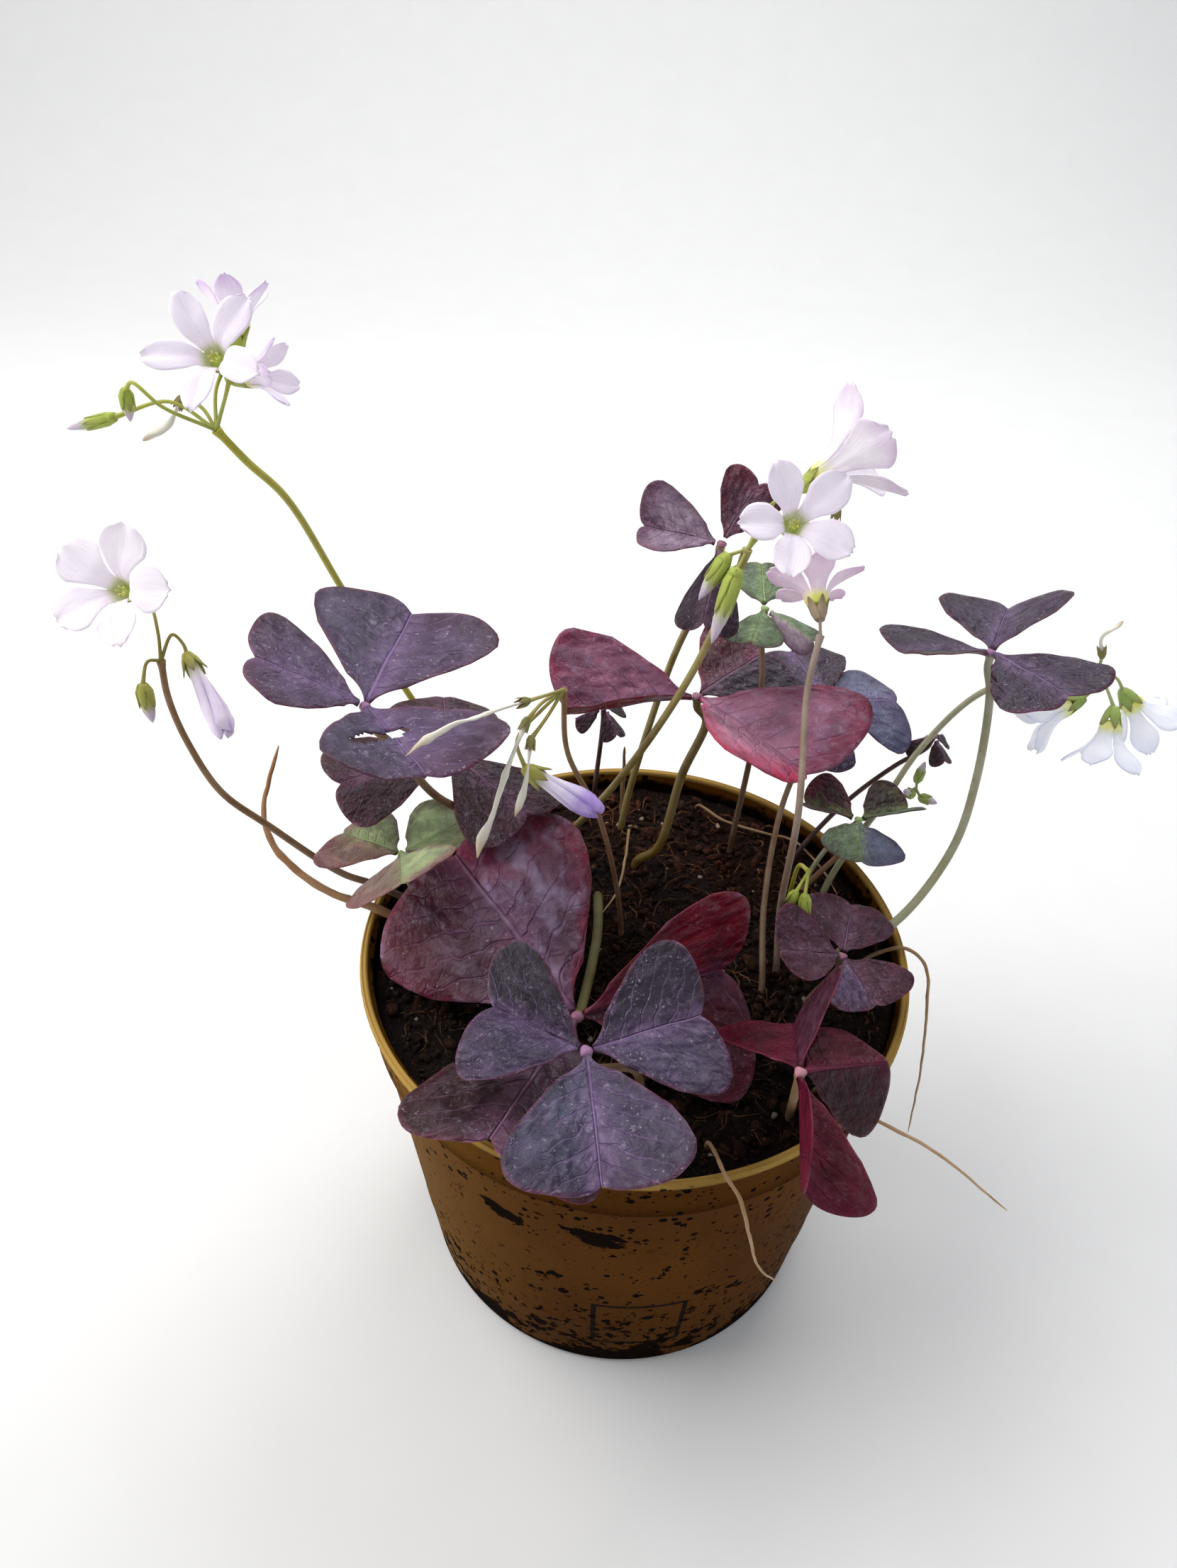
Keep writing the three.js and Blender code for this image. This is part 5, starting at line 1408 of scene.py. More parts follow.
# %% The flower stalks of this plant
STALKS = [
    dict(name="umbel_left_tall", foot=(-40, 38), stem=0.95, colour="stem",
         via=[(-43, 42, 108), (-52, 51, 124), (-63, 58, 140), (-73, 55, 166), (-78, 36, 200),
             (-82, 26, 213), (-86, 24, 220)],
         heads=[
             dict(kind="bloom", name="facing", at=(-86, 34, 229), axis=(-0.1, -0.75, 0.65),
                 length=12.5, open=78, turn=8, slim=0.82, via=[(-87, 31, 225)]),
             dict(kind="bloom", name="rear", at=(-85, 42, 230), axis=(0, 0.45, 0.9), length=10,
                 open=38, turn=20, via=[(-84, 34, 228)]),
             dict(kind="bloom", name="side", at=(-84, 35, 226), axis=(0.85, -0.1, 0.2),
                 length=8.5, open=40, turn=0, via=[(-85, 29, 224)]),
             dict(kind="bud", at=(-106, 26, 221), axis=(-0.95, 0.1, -0.3), length=11, radius=1.2,
                 via=[(-95, 27, 224)]),
             dict(kind="bud", at=(-101, 22, 228), axis=(-0.1, 0.1, -1), length=6.5, radius=1.2,
                 via=[(-94, 20, 226), (-99, 21, 230)]),
             dict(kind="withered", at=(-93, 29, 224), limp=[(-96, 27, 220), (-101, 25, 217)],
                 via=[(-89, 27, 223)]),
         ]),
    dict(name="umbel_left_low", foot=(-50, 9), stem=0.9, colour="brown",
         via=[(-62, 10, 111), (-71, 11, 114), (-87, 12, 128), (-96, 11, 139), (-102, 14, 150),
             (-104, 14, 163), (-104, 15, 172)],
         heads=[
             dict(kind="bloom", name="facing", at=(-110, 22, 184), axis=(-0.15, -0.75, 0.65),
                 length=13.5, open=80, turn=30, slim=1.22, via=[(-104, 17, 178), (-106, 21, 182)]),
             dict(kind="bloom", name="nodding", at=(-99, 18, 170), axis=(0.5, -0.65, -0.55),
                 length=18, open=0, turn=10, via=[(-102, 19, 176), (-100.5, 20, 173)]),
             dict(kind="bud", at=(-107, 10, 169), axis=(0.15, -0.3, -0.95), length=8.5,
                 radius=1.7, via=[(-106, 13, 173)]),
         ]),
    dict(name="umbel_centre", foot=(-21, 36), stem=0.95, colour="khaki",
         via=[(-15, 30, 115), (-5, 25, 135), (6, 20, 162), (12, 20, 178), (18, 21, 200)],
         heads=[
             dict(kind="bloom", name="facing", at=(26, 23, 204), axis=(0.1, -0.75, 0.65),
                 length=12.5, open=78, turn=10, via=[(22, 25, 202)]),
             dict(kind="bloom", name="upper", at=(29, 28, 211), axis=(0.84, 0.3, 0.45),
                 length=19, open=50, turn=0, slim=1.2, reach=0.88,
                 shade="white", via=[(22, 26, 207)]),
             dict(kind="bud", at=(14, 20, 199), axis=(-0.45, -0.15, -0.85), length=11, radius=1.6),
             dict(kind="bud", at=(16, 18, 197), axis=(-0.25, -0.3, -0.9), length=16, radius=1.9),
             dict(kind="withered", at=(36, 28, 206), radius=0.7,
                 limp=[(36, 27, 202), (36, 26, 199)], via=[(26, 32, 208), (33, 32, 210)]),
         ]),
    dict(name="flower_pink", foot=(34, -4), stem=0.85, colour="ashen",
         via=[(33, -1, 118), (32.5, -2.5, 152), (35, 21, 166), (37.5, 29, 175)],
         heads=[
             dict(kind="bloom", name="rear", at=(37, 32, 179), axis=(-0.1, 0.85, 0.5),
                 length=11.5, open=78, turn=20),
         ]),
    dict(name="umbel_spent", foot=(-3, 6), stem=0.7, colour="brown",
         via=[(-5, 7, 118), (-10, 7, 140), (-17, 6, 158), (-18, 4, 176)],
         heads=[
             dict(kind="withered", at=(-25, -3, 178), radius=0.55,
                 limp=[(-31, -8, 179), (-38, -14, 180), (-47, -22, 179)]),
             dict(kind="withered", at=(-25, -4, 174), radius=0.8,
                 limp=[(-28, -10, 168), (-31, -17, 160), (-34, -21, 152)], via=[(-22, 1, 175)]),
             dict(kind="withered", at=(-24, -6, 171), radius=0.7,
                 limp=[(-25, -11, 164), (-27, -14, 157)], via=[(-21, -1, 173)]),
             dict(kind="bloom", name="nodding", at=(-24, -7, 163), axis=(0.86, -0.13, -0.49),
                 length=16, open=0, turn=0, violet=0.8,
                 via=[(-22, 0, 174), (-27, -4, 169)]),
         ]),
    dict(name="umbel_right", foot=(49, 23), stem=0.9, colour="sage",
         via=[(55, 30, 110.5), (63, 38, 118), (72, 46, 131), (83, 45, 150), (95, 41, 158),
             (107, 41, 160)],
         heads=[
             dict(kind="bloom", name="left", at=(104, 40, 152), axis=(-0.85, -0.1, -0.45),
                 length=12.5, open=40, turn=12, via=[(107, 40, 156)]),
             dict(kind="bloom", name="middle", at=(111, 35, 152), axis=(-0.1, -0.5, -0.85),
                 length=12, open=50, turn=0, via=[(109, 38, 157)]),
             dict(kind="bloom", name="right", at=(115, 40, 154), axis=(0.55, 0, -0.65),
                 length=11.5, open=45, turn=30, via=[(112, 41, 158)]),
             dict(kind="withered", at=(106, 40, 165), radius=0.6,
                 limp=[(105, 41, 169), (110, 44, 172)]),
         ]),
    dict(name="buds_right", foot=(46, 29), stem=0.7, colour="sage",
         via=[(53, 35, 110), (63, 41, 113.5), (73, 44, 119)],
         heads=[
             dict(kind="bud", at=(73, 45, 121), axis=(0.2, 0.2, 1), length=6, radius=1.2),
             dict(kind="bud", at=(72, 43, 118), axis=(-0.6, -0.4, 0.6), length=5, radius=1.2),
             dict(kind="bud", at=(74, 42, 118), axis=(0.6, -0.6, 0.2), length=5, radius=1.2),
         ]),
    dict(name="buds_low", foot=(38, 14), stem=0.6, colour="stem",
         via=[(38, 13, 112), (38, 9, 124), (39, 4, 127)],
         heads=[
             dict(kind="bud", at=(38, -1, 124), axis=(0.1, -0.3, -1), length=8, radius=1.3),
             dict(kind="bud", at=(36, 0, 124), axis=(-0.4, -0.3, -1), length=6, radius=1.1),
         ]),
]

# %% [markdown]
# A petal widens from its narrow root and ends in a round tip. Five of them share a circle, so each
# keeps to its own fifth of it. A petal's middle line starts upright in the tube and flares
# outwards by the flower's opening. Small random differences keep the five from looking alike.

# %% Petals
PETAL_COUNT, PETAL_WIDTH, PETAL_CUP, PETAL_TWIST, PETAL_GAP = 5, 0.31, 0.14, 12, 0.55
THROAT_BOTTOM, THROAT_TOP, THROAT_LENGTH, THROAT_FLOOR = 1.5, 2.2, 3.2, 1.7
FLOWER_TINTS = {  # petal, rim and outside
    "lilac": ("#eee4f6", "#dcc8ea", "#efe4f4"),
    "pale": ("#f5e9f6", "#ecd6ef", "#f3e9f5"),
    "white": ("#e9e2ea", "#d6c6da", "#e6dee9"),
    "bluish": ("#eef1fb", "#dfe5f7", "#e8ecf8"),
    "pink": ("#e8d3e4", "#dcbcd8", "#e6cfe2"),
}
FLOWER_KIND = {"umbel_left_tall": "lilac", "umbel_left_low": "pale", "umbel_centre": "lilac",
               "flower_pink": "pink", "umbel_spent": "lilac", "umbel_right": "bluish"}
YOLK, LEAF_GREEN, VIOLET = rgb("#dcdf70"), rgb("#b3c25e"), rgb("#a283cf")
HALF_SECTOR = math.tan(math.pi / PETAL_COUNT)  # half the width of one fifth, at radius 1


def facing(axis, base):
    """The turn that points +Z along an axis, as a function on points."""
    turn = np.array(Vector((0, 0, 1)).rotation_difference(Vector(axis)).to_matrix())
    return lambda points: np.asarray(points) @ turn.T + np.array(base, float)


def petal_half_width(length, opening, t):
    root = THROAT_TOP * HALF_SECTOR
    width = length * PETAL_WIDTH * (0.75 + opening / 320)
    swell = root + (width - root) * np.sin(math.pi / 2 * np.clip(t, 0, 0.66) / 0.66)
    tip = width * np.sqrt(np.clip(1 - ((t - 0.66) / 0.37) ** 2, 0, 1))
    return np.where(t < 0.66, swell, tip)


def petal_line(length, opening, t, steps=24):
    """Where the middle of a petal runs: radius, height and slope at share t of its length."""
    shares = (np.arange(steps) + 0.5) / steps
    at = t[..., None] * shares
    flare = np.radians(opening) * smoothstep(at, -0.15, 0.6)
    radius = THROAT_TOP + np.sin(flare).mean(-1) * length * t
    height = THROAT_LENGTH + np.cos(flare).mean(-1) * length * t
    return radius, height, np.radians(opening) * smoothstep(t, -0.15, 0.6)


PETAL_ACROSS, PETAL_ALONG, TUBE_ROWS = 12, 20, 5


# %% [markdown]
# A petal is one sheet from the foot of its tube to its tip. It is cupped across, twisted a little
# and creased along its middle. Green and yellow rise out of the tube and fade into the petal.

# %% One petal
def add_petal(form, head, k, tints, chance):
    length = head["length"] * head.get("reach", 1.0) * (1 + 0.04 * chance.uniform(-1, 1))
    opening = head["open"] + chance.uniform(-5, 5)
    across_steps = np.linspace(-1, 1, PETAL_ACROSS + 1)
    s, t = flat_grid(across_steps, np.linspace(0, 1, PETAL_ALONG + 1))
    rounded = t * (1 - 0.05 * s**2 * smoothstep(t, 0.4, 1) + 0.02 * np.cos(3 * math.pi * s) * t**6)
    radius, height, flare = petal_line(length, opening, rounded)
    room = radius * HALF_SECTOR - PETAL_GAP * np.minimum(1, 3 * t)
    half = np.minimum(petal_half_width(length, opening, t) * head.get("slim", 1.0), room)
    y = s * half
    lift = (PETAL_CUP * y * s + y * math.sin(math.radians(PETAL_TWIST))) * t
    ripple = t**2 * (0.28 * np.sin(4.5 * s + chance.uniform(0, 6)) + 0.18 * np.sin(9 * t + 3 * s))
    crease = 0.22 * np.exp(-((s / 0.25) ** 2)) * np.minimum(1, 4 * t)
    lift = lift + ripple - crease
    blade_points = np.stack([radius - lift * np.cos(flare), y, height + lift * np.sin(flare)], -1)
    ts, tt = flat_grid(across_steps, np.linspace(0, 1, TUBE_ROWS + 1)[:-1])
    tube_radius = THROAT_BOTTOM + (THROAT_TOP - THROAT_BOTTOM) * tt
    tube = np.stack([tube_radius, ts * tube_radius * HALF_SECTOR,
                     THROAT_FLOOR + (THROAT_LENGTH - THROAT_FLOOR) * tt], -1)
    points = np.vstack([tube, blade_points])
    share = np.concatenate([tt - 1, t])
    side = np.concatenate([ts, s])
    quads = grid_faces(PETAL_ALONG + 1 + TUBE_ROWS, PETAL_ACROSS + 1)[:, ::-1]
    thick = np.where(share < 0.1, 0.5, 0.26) * np.where((share > 0.99) | (np.abs(side) > 0.99), 0.6, 1)
    both, faces = sheet(points, quads, thick)
    turn = math.radians(head["turn"]) + 2 * math.pi * (k + 0.5) / PETAL_COUNT
    spin = np.array(Matrix.Rotation(turn, 3, "Z"))
    both = facing(head["axis"], head["at"])(both @ spin.T)
    petal, rim, outside = (rgb(code) for code in tints)
    edge = np.clip(smoothstep(share, 0.55, 1.0) + 0.7 * smoothstep(np.abs(side), 0.6, 1.0), 0, 1)
    green = smoothstep(share, 0.2, -0.05)
    inner = mix(mix(petal, rim, edge), YOLK, green)
    outer = mix(outside, LEAF_GREEN, 0.7 * green)
    place = np.column_stack([side * 0.5, share, np.full(len(share), k + head["length"])])
    form.add(both, faces, np.vstack([inner, outer]), np.repeat([0.0, 1.0], len(points)),
             np.vstack([place, place]))


# %% [markdown]
# Stamens are ten hair-thin filaments with a grain of pollen on each. They sit deep in the tube, so
# a few sides are enough.

# %% Stamens
STAMEN_COUNT = 10


def add_stamens(form, head, chance):
    put = facing(head["axis"], head["at"])
    for k in range(STAMEN_COUNT):
        angle = 2 * math.pi * k / STAMEN_COUNT
        tall = 3.9 if k % 2 else 3.2
        direction = np.array([math.cos(angle), math.sin(angle), 0])
        path = [direction * r + (0, 0, h) for r, h in ((0.4, 1.9), (0.6, 0.75 * tall), (0.9, tall))]
        points, faces = rope(path, (0.1, 0.09, 0.08), 4)
        form.add(put(points), faces, YOLK)
        ball, faces = lathe([(0, -0.3), (0.2, -0.15), (0.22, 0.1), (0, 0.3)], 6)
        form.add(put(np.array(ball) + path[-1]), faces, rgb("#d9cf62") * chance.uniform(0.8, 1.1))
    pistil, faces = lathe([(0, 1.4), (1.6, 1.6), (1.5, 1.9), (0.5, 2.1), (0.3, 2.9), (0, 3.1)], 14)
    form.add(put(pistil), faces, LEAF_GREEN)


# %% [markdown]
# A flower that has not opened, or has closed again, is a fluted spindle. It is a tube whose radius
# swells towards its mouth. A wave with five lobes makes the folds of the petals, and every ring is
# turned a little further than the one below it.

# %% A furled flower
FURLED_SIDES, FURLED_ROWS = 40, 26


def add_furled(form, head, tints):
    """Five petals wound into a fluted spindle that flares a little at its mouth."""
    length = head["length"]
    heights = np.linspace(0, 1, FURLED_ROWS)
    radii = np.interp(heights, (0, 0.3, 0.68, 0.9, 1), (1.1, 1.8, 2.8, 2.7, 1.7))
    put = facing(head["axis"], head["at"])
    points = [(0, 0, 0.02)]
    for h, radius in zip(heights, radii):
        for k in range(FURLED_SIDES):
            angle = 2 * math.pi * k / FURLED_SIDES
            lobes = PETAL_COUNT * angle
            wave = 1 - 0.2 * min(1, 3 * h) * (1 - np.cos(lobes)) / 1.6
            frill = 1 + 0.2 * smoothstep(h, 0.8, 1.0) * math.sin(7 * angle + 3 * h)
            around = angle + math.radians(head["turn"]) + 0.9 * h + 0.4 * h * math.sin(lobes)
            r = radius * wave * frill
            points.append((r * math.cos(around), r * math.sin(around),
                           length * h + 0.8 * smoothstep(h, 0.8, 1) * math.sin(3 * angle)))
    points.append((0, 0, length * 0.95))
    share = np.concatenate([[0], np.repeat(heights, FURLED_SIDES), [1]])
    angles = np.linspace(0, 2 * np.pi, FURLED_SIDES, False)
    fold = np.concatenate([[0], np.tile(np.cos(PETAL_COUNT * angles), FURLED_ROWS), [0]])
    petal = rgb(tints[0])
    deep = (0.25 + 0.55 * smoothstep(fold, 0.4, -0.8)) * smoothstep(share, 0.15, 0.6)
    deep = np.clip(deep + head.get("violet", 0.0) * smoothstep(share, 0.4, 0.9), 0, 1)
    tint = mix(mix(petal, VIOLET, deep), rgb("#c9cf9a"), smoothstep(share, 0.3, 0.02))
    place = np.column_stack([fold * 0.3, share, np.full(len(share), length)])
    form.add(put(np.array(points)), tube_faces(FURLED_ROWS, FURLED_SIDES), tint, 0.0, place)


# %% [markdown]
# Petals are nearly white, thin and a little translucent. Fine darker lines run along them, and a
# weak glow of their own stands for the light that passes through from behind. The lines are noise
# that is squeezed across the petal, on its own measure, so they follow every curl.

# %% Petal finish
material, wires, sockets = finish("petal", Specular_IOR_Level=0.3, Subsurface_Weight=0.25,
                                  Subsurface_Scale=0.001, Emission_Strength=0.15)
sockets["Subsurface Radius"].default_value = (1.0, 0.8, 1.0)
tint, place = wires.read("tint", "Color"), wires.read("place", "Vector")
across, along, seed = wires.parts(place)
threads = wires.noise(wires.vector(wires.times(across, 26.0), along, seed), 2.2, 2.0)
lines = wires.ease(threads, 0.56, 0.66, 0.0, 0.4)
colour = wires.blend(lines, tint, wires.dyed(tint, (0.86, 0.78, 0.9)))
cloud = wires.noise(wires.spot(), 380.0, 2.0)
colour = wires.blend(wires.ease(cloud, 0.4, 0.75, 0.0, 0.3), colour, (0.93, 0.9, 0.95))
wires.feed(sockets["Base Color"], colour)
wires.feed(sockets["Emission Color"], colour)
wires.feed(sockets["Roughness"], wires.ease(cloud, 0.3, 0.7, 0.45, 0.62))
relief(wires, sockets, wires.plus(threads, wires.times(cloud, 0.5)), 0.1)
PETAL_SKIN = material

# %% [markdown]
# The green parts under the flowers: five pointed sepals hold the tube, a bud is a small spindle in
# the same sepals, and a spent flower hangs as a limp twist. They share one soft green skin.

# %% Sepals and calyx
SEPAL_BASE, SEPAL_ACROSS, SEPAL_ALONG = -1.9, 6, 10


def add_sepals(form, put, length, foot, belly, mouth, tint, tip_tint, wide=1.0):
    """Five pointed leaves that rise from their base and lie against what stands in them."""
    s, t = flat_grid(np.linspace(-1, 1, SEPAL_ACROSS + 1), np.linspace(0, 1, SEPAL_ALONG + 1))
    radius = np.interp(t, (0, 0.3, 0.7, 1), (foot, belly, (belly + mouth) / 2, mouth))
    half = wide * np.interp(t, (0, 0.25, 0.5, 0.8, 1), (0.75, 1.0, 0.95, 0.5, 0.04)) * belly * 0.72
    angle = s * half / radius
    quads = grid_faces(SEPAL_ALONG + 1, SEPAL_ACROSS + 1)[:, ::-1]
    colour = mix(tint, tip_tint, t**3)
    for k in range(PETAL_COUNT):
        around = angle + 2 * math.pi * k / PETAL_COUNT
        out = radius + 0.12 * (k % 2)
        points = np.stack([out * np.cos(around), out * np.sin(around), SEPAL_BASE + length * t], -1)
        both, faces = sheet(points, quads, np.where(t > 0.95, 0.12, 0.26))
        place = np.column_stack([s * 0.5, t, np.full(len(s), k)])
        form.add(put(both), faces, np.vstack([colour, colour * 0.9]), 0.0, np.vstack([place, place]))
    cup, faces = lathe([(0, SEPAL_BASE - 0.05), (foot, SEPAL_BASE), (belly, -0.6),
                        (belly * 0.6, -0.35), (0, -0.35)], 16)
    form.add(put(cup), faces, tint * 0.9)


def add_calyx(form, head, tint):
    put = facing(head["axis"], head["at"])
    add_sepals(form, put, 5.2, 0.8, 1.6, 2.7, tint, rgb("#8f7a55"))


# %% [markdown]
# A bud is a spindle of five folded petals that stands in small sepals: green below, and the colour
# of its petals at the tip.

# %% Buds
def add_bud(form, head, tint, petal_tint):
    length, radius = head["length"], head["radius"]
    put = facing(head["axis"], head["at"])
    heights = np.linspace(0, 1, 14)
    radii = radius * np.interp(heights, (0, 0.08, 0.35, 0.7, 0.9, 1), (0.3, 0.75, 1, 0.75, 0.4, 0.05))
    profile = [(0, -0.6)] + list(zip(radii, -0.4 + heights * (length + 0.3))) + [(0, length)]
    points, faces = lathe(profile, 20)
    points = np.array(points)
    angle = np.arctan2(points[:, 1], points[:, 0]) + 0.25 * points[:, 2]
    points[:, :2] *= (1 + 0.07 * np.cos(PETAL_COUNT * angle))[:, None]
    share = points[:, 2] / length
    place = np.column_stack([angle / 6, share, np.zeros(len(points))])
    form.add(put(points), faces, mix(tint, petal_tint, smoothstep(share, 0.45, 0.8)), 0.0, place)

    def lifted(local):
        return put(np.asarray(local) + (0, 0, 1.6))

    add_sepals(form, lifted, length * 0.62, radius * 0.5, radius * 0.98, radius * 0.95, tint,
               rgb("#a39a5c"), 0.8)


# %% [markdown]
# A withered flower is a limp strand, thick and thin by turns, cream and then dry at its end. Its
# sepals still clasp it.

# %% Withered flowers
WITHERED_SIDES = 8


def add_withered(form, head):
    radius = 1.2 * head.get("radius", 0.9)
    path = smooth_path([head["at"], *head["limp"]], 18)
    share = np.linspace(0, 1, len(path))
    path = path + np.stack([lumps(path, 5.5, 2.0 * k) for k in range(3)], 1) * 0.9 * share[:, None]
    swell = np.interp(share, (0, 0.1, 0.3, 0.6, 0.85, 1), (0.7, 0.8, 0.5, 0.95, 1.25, 0.15))
    wobble = 1 + 0.4 * lumps(path, 2.6, 4.0)
    points, faces = rope(path, radius * swell * wobble, WITHERED_SIDES, 0.6, 0.12)
    dryness = smoothstep(np.repeat(share, WITHERED_SIDES), 0.75, 1.0)
    dryness = np.concatenate([[0], dryness, [1]])
    form.add(points, faces, mix(rgb("#f3efe2"), rgb("#c9b391"), dryness))
    put = facing(np.array(path[2]) - path[0], head["at"])

    def lifted(local):
        return put(np.asarray(local) * 0.62 + (0, 0, 0.6))

    add_sepals(form, lifted, 5.0, 0.7, 1.4, 1.7, rgb("#8c8a4e"), rgb("#a08a5c"))


# %% [markdown]
# The skin of the green parts is like that of the petals, without the glow: lines along each sepal
# and a soft cloud in its shine. It reads the same two attributes, tint and place.

# %% Green skin of calyces and buds
material, wires, sockets = finish("calyx_green", Specular_IOR_Level=0.4)
tint, place = wires.read("tint", "Color"), wires.read("place", "Vector")
across, along, seed = wires.parts(place)
lines = wires.noise(wires.vector(wires.times(across, 18.0), along, seed), 2.5, 2.0)
cloud = wires.noise(wires.spot(), 700.0, 3.0)
deeper = wires.dyed(tint, (0.8, 0.78, 0.7))
wires.feed(sockets["Base Color"], wires.blend(wires.ease(lines, 0.35, 0.55), deeper, tint))
wires.feed(sockets["Roughness"], wires.ease(cloud, 0.3, 0.7, 0.42, 0.6))
relief(wires, sockets, wires.plus(lines, cloud), 0.08)
CALYX_SKIN = material

# %% [markdown]
# Now every stalk is built from its row. The stalk and the thin stems of its flowers are one swept
# piece, its calyxes, buds and withered flowers a second, and each open corolla a piece of its own,
# because each corolla is a solid of its own too. The random numbers start from a fixed seed.

# %% Building every flower stalk
GREEN_TINTS = {"stem": "#b5c654", "brown": "#b3b255", "sage": "#a9c268",
               "khaki": "#b7c85a", "ashen": "#b09e84"}
for stalk in STALKS:
    top = stalk["via"][-1]
    path = smooth_path(rising(stalk["foot"], stalk["via"]))
    radii = taper(len(path), stalk["stem"])
    radii[-3:] *= (1.05, 1.25, 1.4)
    strands = [(path, radii, strand_tints(stalk["colour"], len(path)))]
    heads = Form()
    green = rgb(GREEN_TINTS[stalk["colour"]])
    chance = np.random.default_rng(len(stalk["name"]) + len(stalk["heads"]))
    for head in stalk["heads"]:
        end = np.array(head["at"], float)
        if head["kind"] == "bloom":
            axis = np.array(head["axis"], float)
            end = end + axis / np.linalg.norm(axis) * (0.5 + SEPAL_BASE)
        thin = smooth_path([top, *head.get("via", []), end])
        share = np.linspace(0, 1, len(thin))
        tint = mix(strand_tints(stalk["colour"], len(thin)), green, 0.6)
        strands.append((thin, 0.36 + 0.2 * share**6 + 0.12 * np.exp(-share / 0.08), tint))
        if head["kind"] == "bloom":
            add_calyx(heads, head, green)
            tints = FLOWER_TINTS[head.get("shade", FLOWER_KIND[stalk["name"]])]
            corolla = Form()
            if head["open"] > 0:
                for k in range(PETAL_COUNT):
                    add_petal(corolla, head, k, tints, chance)
                add_stamens(corolla, head, chance)
            else:
                add_furled(corolla, head, tints)
            node = f"{stalk['name']}_petals_{head['name']}"
            dress(corolla.piece("shown_" + node, PETAL_SKIN), node)
        elif head["kind"] == "bud":
            add_bud(heads, head, green, rgb("#d8c8e0"))
        else:
            add_withered(heads, head)
    node = stalk["name"] + "_stalk"
    dress(stem_piece("shown_" + node, strands, SLOT_OF[node], 10), node)
    dress(heads.piece(stalk["name"] + "_heads", CALYX_SKIN), node)
print("flower stalks:", len(STALKS))

# %% [markdown]
# ## Bare stems and rootlets
# Dry stems and white rootlets hang over the rim. They are the same strands, thinner at their ends
# and slightly wavy, because nothing holds them straight.

# %% Rootlets
BARE = [
    dict(name="stem_dead_left", foot=(-50, 2), stem=1.1, colour="dry",
         via=[(-62, 4, 109.5), (-74, 8, 110.5), (-88, 17, 115), (-92, 24, 121), (-90, 38, 131)]),
    dict(name="stem_bare_back", foot=(-3, 51), stem=0.7, colour="brown",
         via=[(-3, 53, 112), (-3, 54, 122)]),
    dict(name="root_front", foot=(15, -52), stem=0.5, colour="root",
         via=[(16, -57, 106), (17, -63, 109), (20, -67.5, 107), (22, -68.5, 100), (28, -64, 74),
             (35, -58, 56)]),
    dict(name="root_right", foot=(55, -1), stem=0.5, colour="root",
         via=[(59, -1, 106), (64, -2, 108.5), (69, -4, 105), (71, -6, 96), (73, -11, 74),
             (73, -16, 54)]),
    dict(name="root_white", foot=(39, -38), stem=0.5, colour="root",
         via=[(41, -42, 106), (47, -49, 109.5), (60, -55, 107), (76, -62, 97)]),
    dict(name="root_pale", foot=(-1, 43), stem=0.4, colour="root",
         via=[(-2, 31, 103.4), (-4, 20, 102.6), (-8.5, 10, 102.6)]),
    dict(name="runner", foot=(18, 54), stem=0.4, colour="root",
         via=[(24.5, 47, 103.2), (35.5, 42, 103.4), (42.5, 40, 103.2), (49, 30, 102.8),
             (52, 21, 102.7)]),
]
for bare in BARE:
    path = smooth_path(rising(bare["foot"], bare["via"]), 12)
    share = np.linspace(0, 1, len(path))
    free = smoothstep(share, 0.25, 0.6)[:, None]
    shake = np.stack([lumps(path, 4.0, 3.0 * k + 1) for k in range(3)], 1)
    path = path + shake * 0.22 * free
    ends = np.interp(share, (0, 0.15, 0.7, 0.97, 1), (1.1, 1, 0.8, 0.45, 0.15))
    knots = 1 + 0.18 * lumps(path, 2.0, 6.0)
    tint = strand_tints(bare["colour"], len(path))
    strand = (path, bare["stem"] * ends * knots, tint)
    dress(stem_piece("shown_" + bare["name"], [strand], SLOT_OF[bare["name"]], 8), bare["name"])
print("bare strands:", len(BARE))

# %% [markdown]
# ## Floor, light and size
# The plant stands on a plain pale floor. A broad soft light from the upper left makes the shine on
# the blades, a weaker one from the right keeps the shadows open, and the sky around is nearly white.

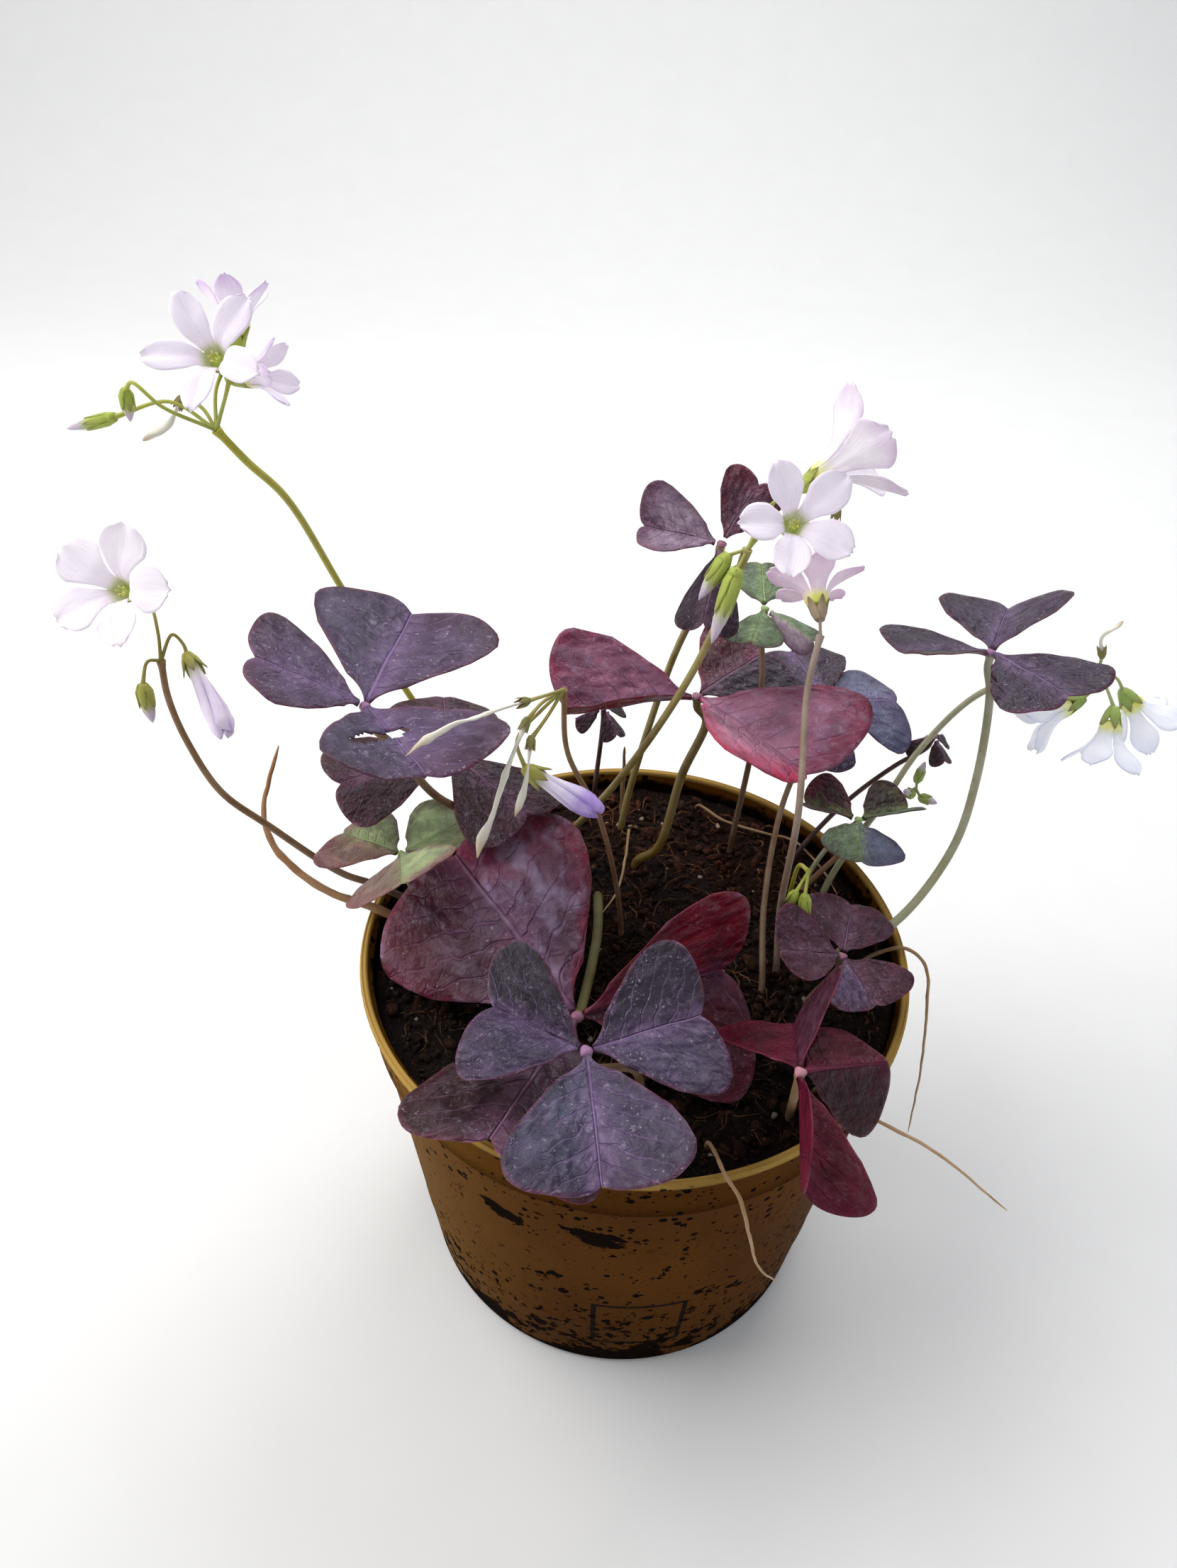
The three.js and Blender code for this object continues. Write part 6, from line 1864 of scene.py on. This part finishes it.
# %% Floor
FLOOR_SIDE, COVE_START, COVE_RADIUS, COVE_TOP, COVE_STEPS = 1500, 700, 500, 1500, 12
cove = [(-FLOOR_SIDE, 0), (COVE_START, 0)]
for k in range(1, COVE_STEPS + 1):
    bend = math.pi / 2 * k / COVE_STEPS
    cove.append((COVE_START + COVE_RADIUS * math.sin(bend), COVE_RADIUS * (1 - math.cos(bend))))
cove.append((COVE_START + COVE_RADIUS, COVE_TOP))
floor_points = [(side, y, z) for y, z in cove for side in (-FLOOR_SIDE, FLOOR_SIDE)]
floor_faces = [(2 * k, 2 * k + 1, 2 * k + 3, 2 * k + 2) for k in range(len(cove) - 1)]
floor = smoothed(plain_mesh("pale_floor", floor_points, floor_faces))
material, wires, sockets = finish("pale_floor", Specular_IOR_Level=0.1, Roughness=0.9)
paper = wires.noise(wires.spot(), 40.0, 3.0)
wires.feed(sockets["Base Color"], wires.blend(paper, (0.86, 0.86, 0.86), (0.9, 0.9, 0.9)))
floor.data.materials.append(material)
floor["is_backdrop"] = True

# %% [markdown]
# Four round lamps and a nearly white sky light the plant. Large lamps give soft shadows. Each is
# placed one by one, in metres, and turned towards a point in the pot.

# %% Light
world = bpy.data.worlds.new("pale_room")
world.use_nodes = True
sky = world.node_tree.nodes["Background"].inputs
sky["Color"].default_value = (0.95, 0.97, 1.0, 1)
sky["Strength"].default_value = 0.46
bpy.context.scene.world = world


LIT_POINT = Vector((0, 0, 0.1))


def soft_light(name, place, size, watts, tint):
    data = bpy.data.lights.new(name, "AREA")
    data.shape, data.size, data.energy, data.color = "DISK", size, watts, tint
    lamp = linked(name, data)
    lamp.location = place
    lamp.rotation_euler = (LIT_POINT - Vector(place)).to_track_quat("-Z", "Y").to_euler()


soft_light("window_left", (-0.6, 0.1, 0.9), 0.8, 6.8, (1.0, 0.98, 0.95))
soft_light("fill_right", (0.8, -0.5, 0.5), 0.8, 0.6, (0.92, 0.95, 1.0))
soft_light("low_left", (-0.9, -0.1, 0.22), 0.5, 1.5, (1.0, 0.97, 0.92))
soft_light("top_back", (0.25, 0.6, 0.9), 0.6, 4.2, (1.0, 1.0, 1.0))
bpy.context.scene.view_settings.view_transform = "Standard"

# %% [markdown]
# Last, the size of what is shown is measured against the solid part, and the difference is printed.

# %% Size
shown_low, shown_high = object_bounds()
grow = [round((a - b) / MM, 1) for a, b in zip(shown_high - shown_low, cad_high - cad_low)]
print("shown box minus solid box, mm:", grow)
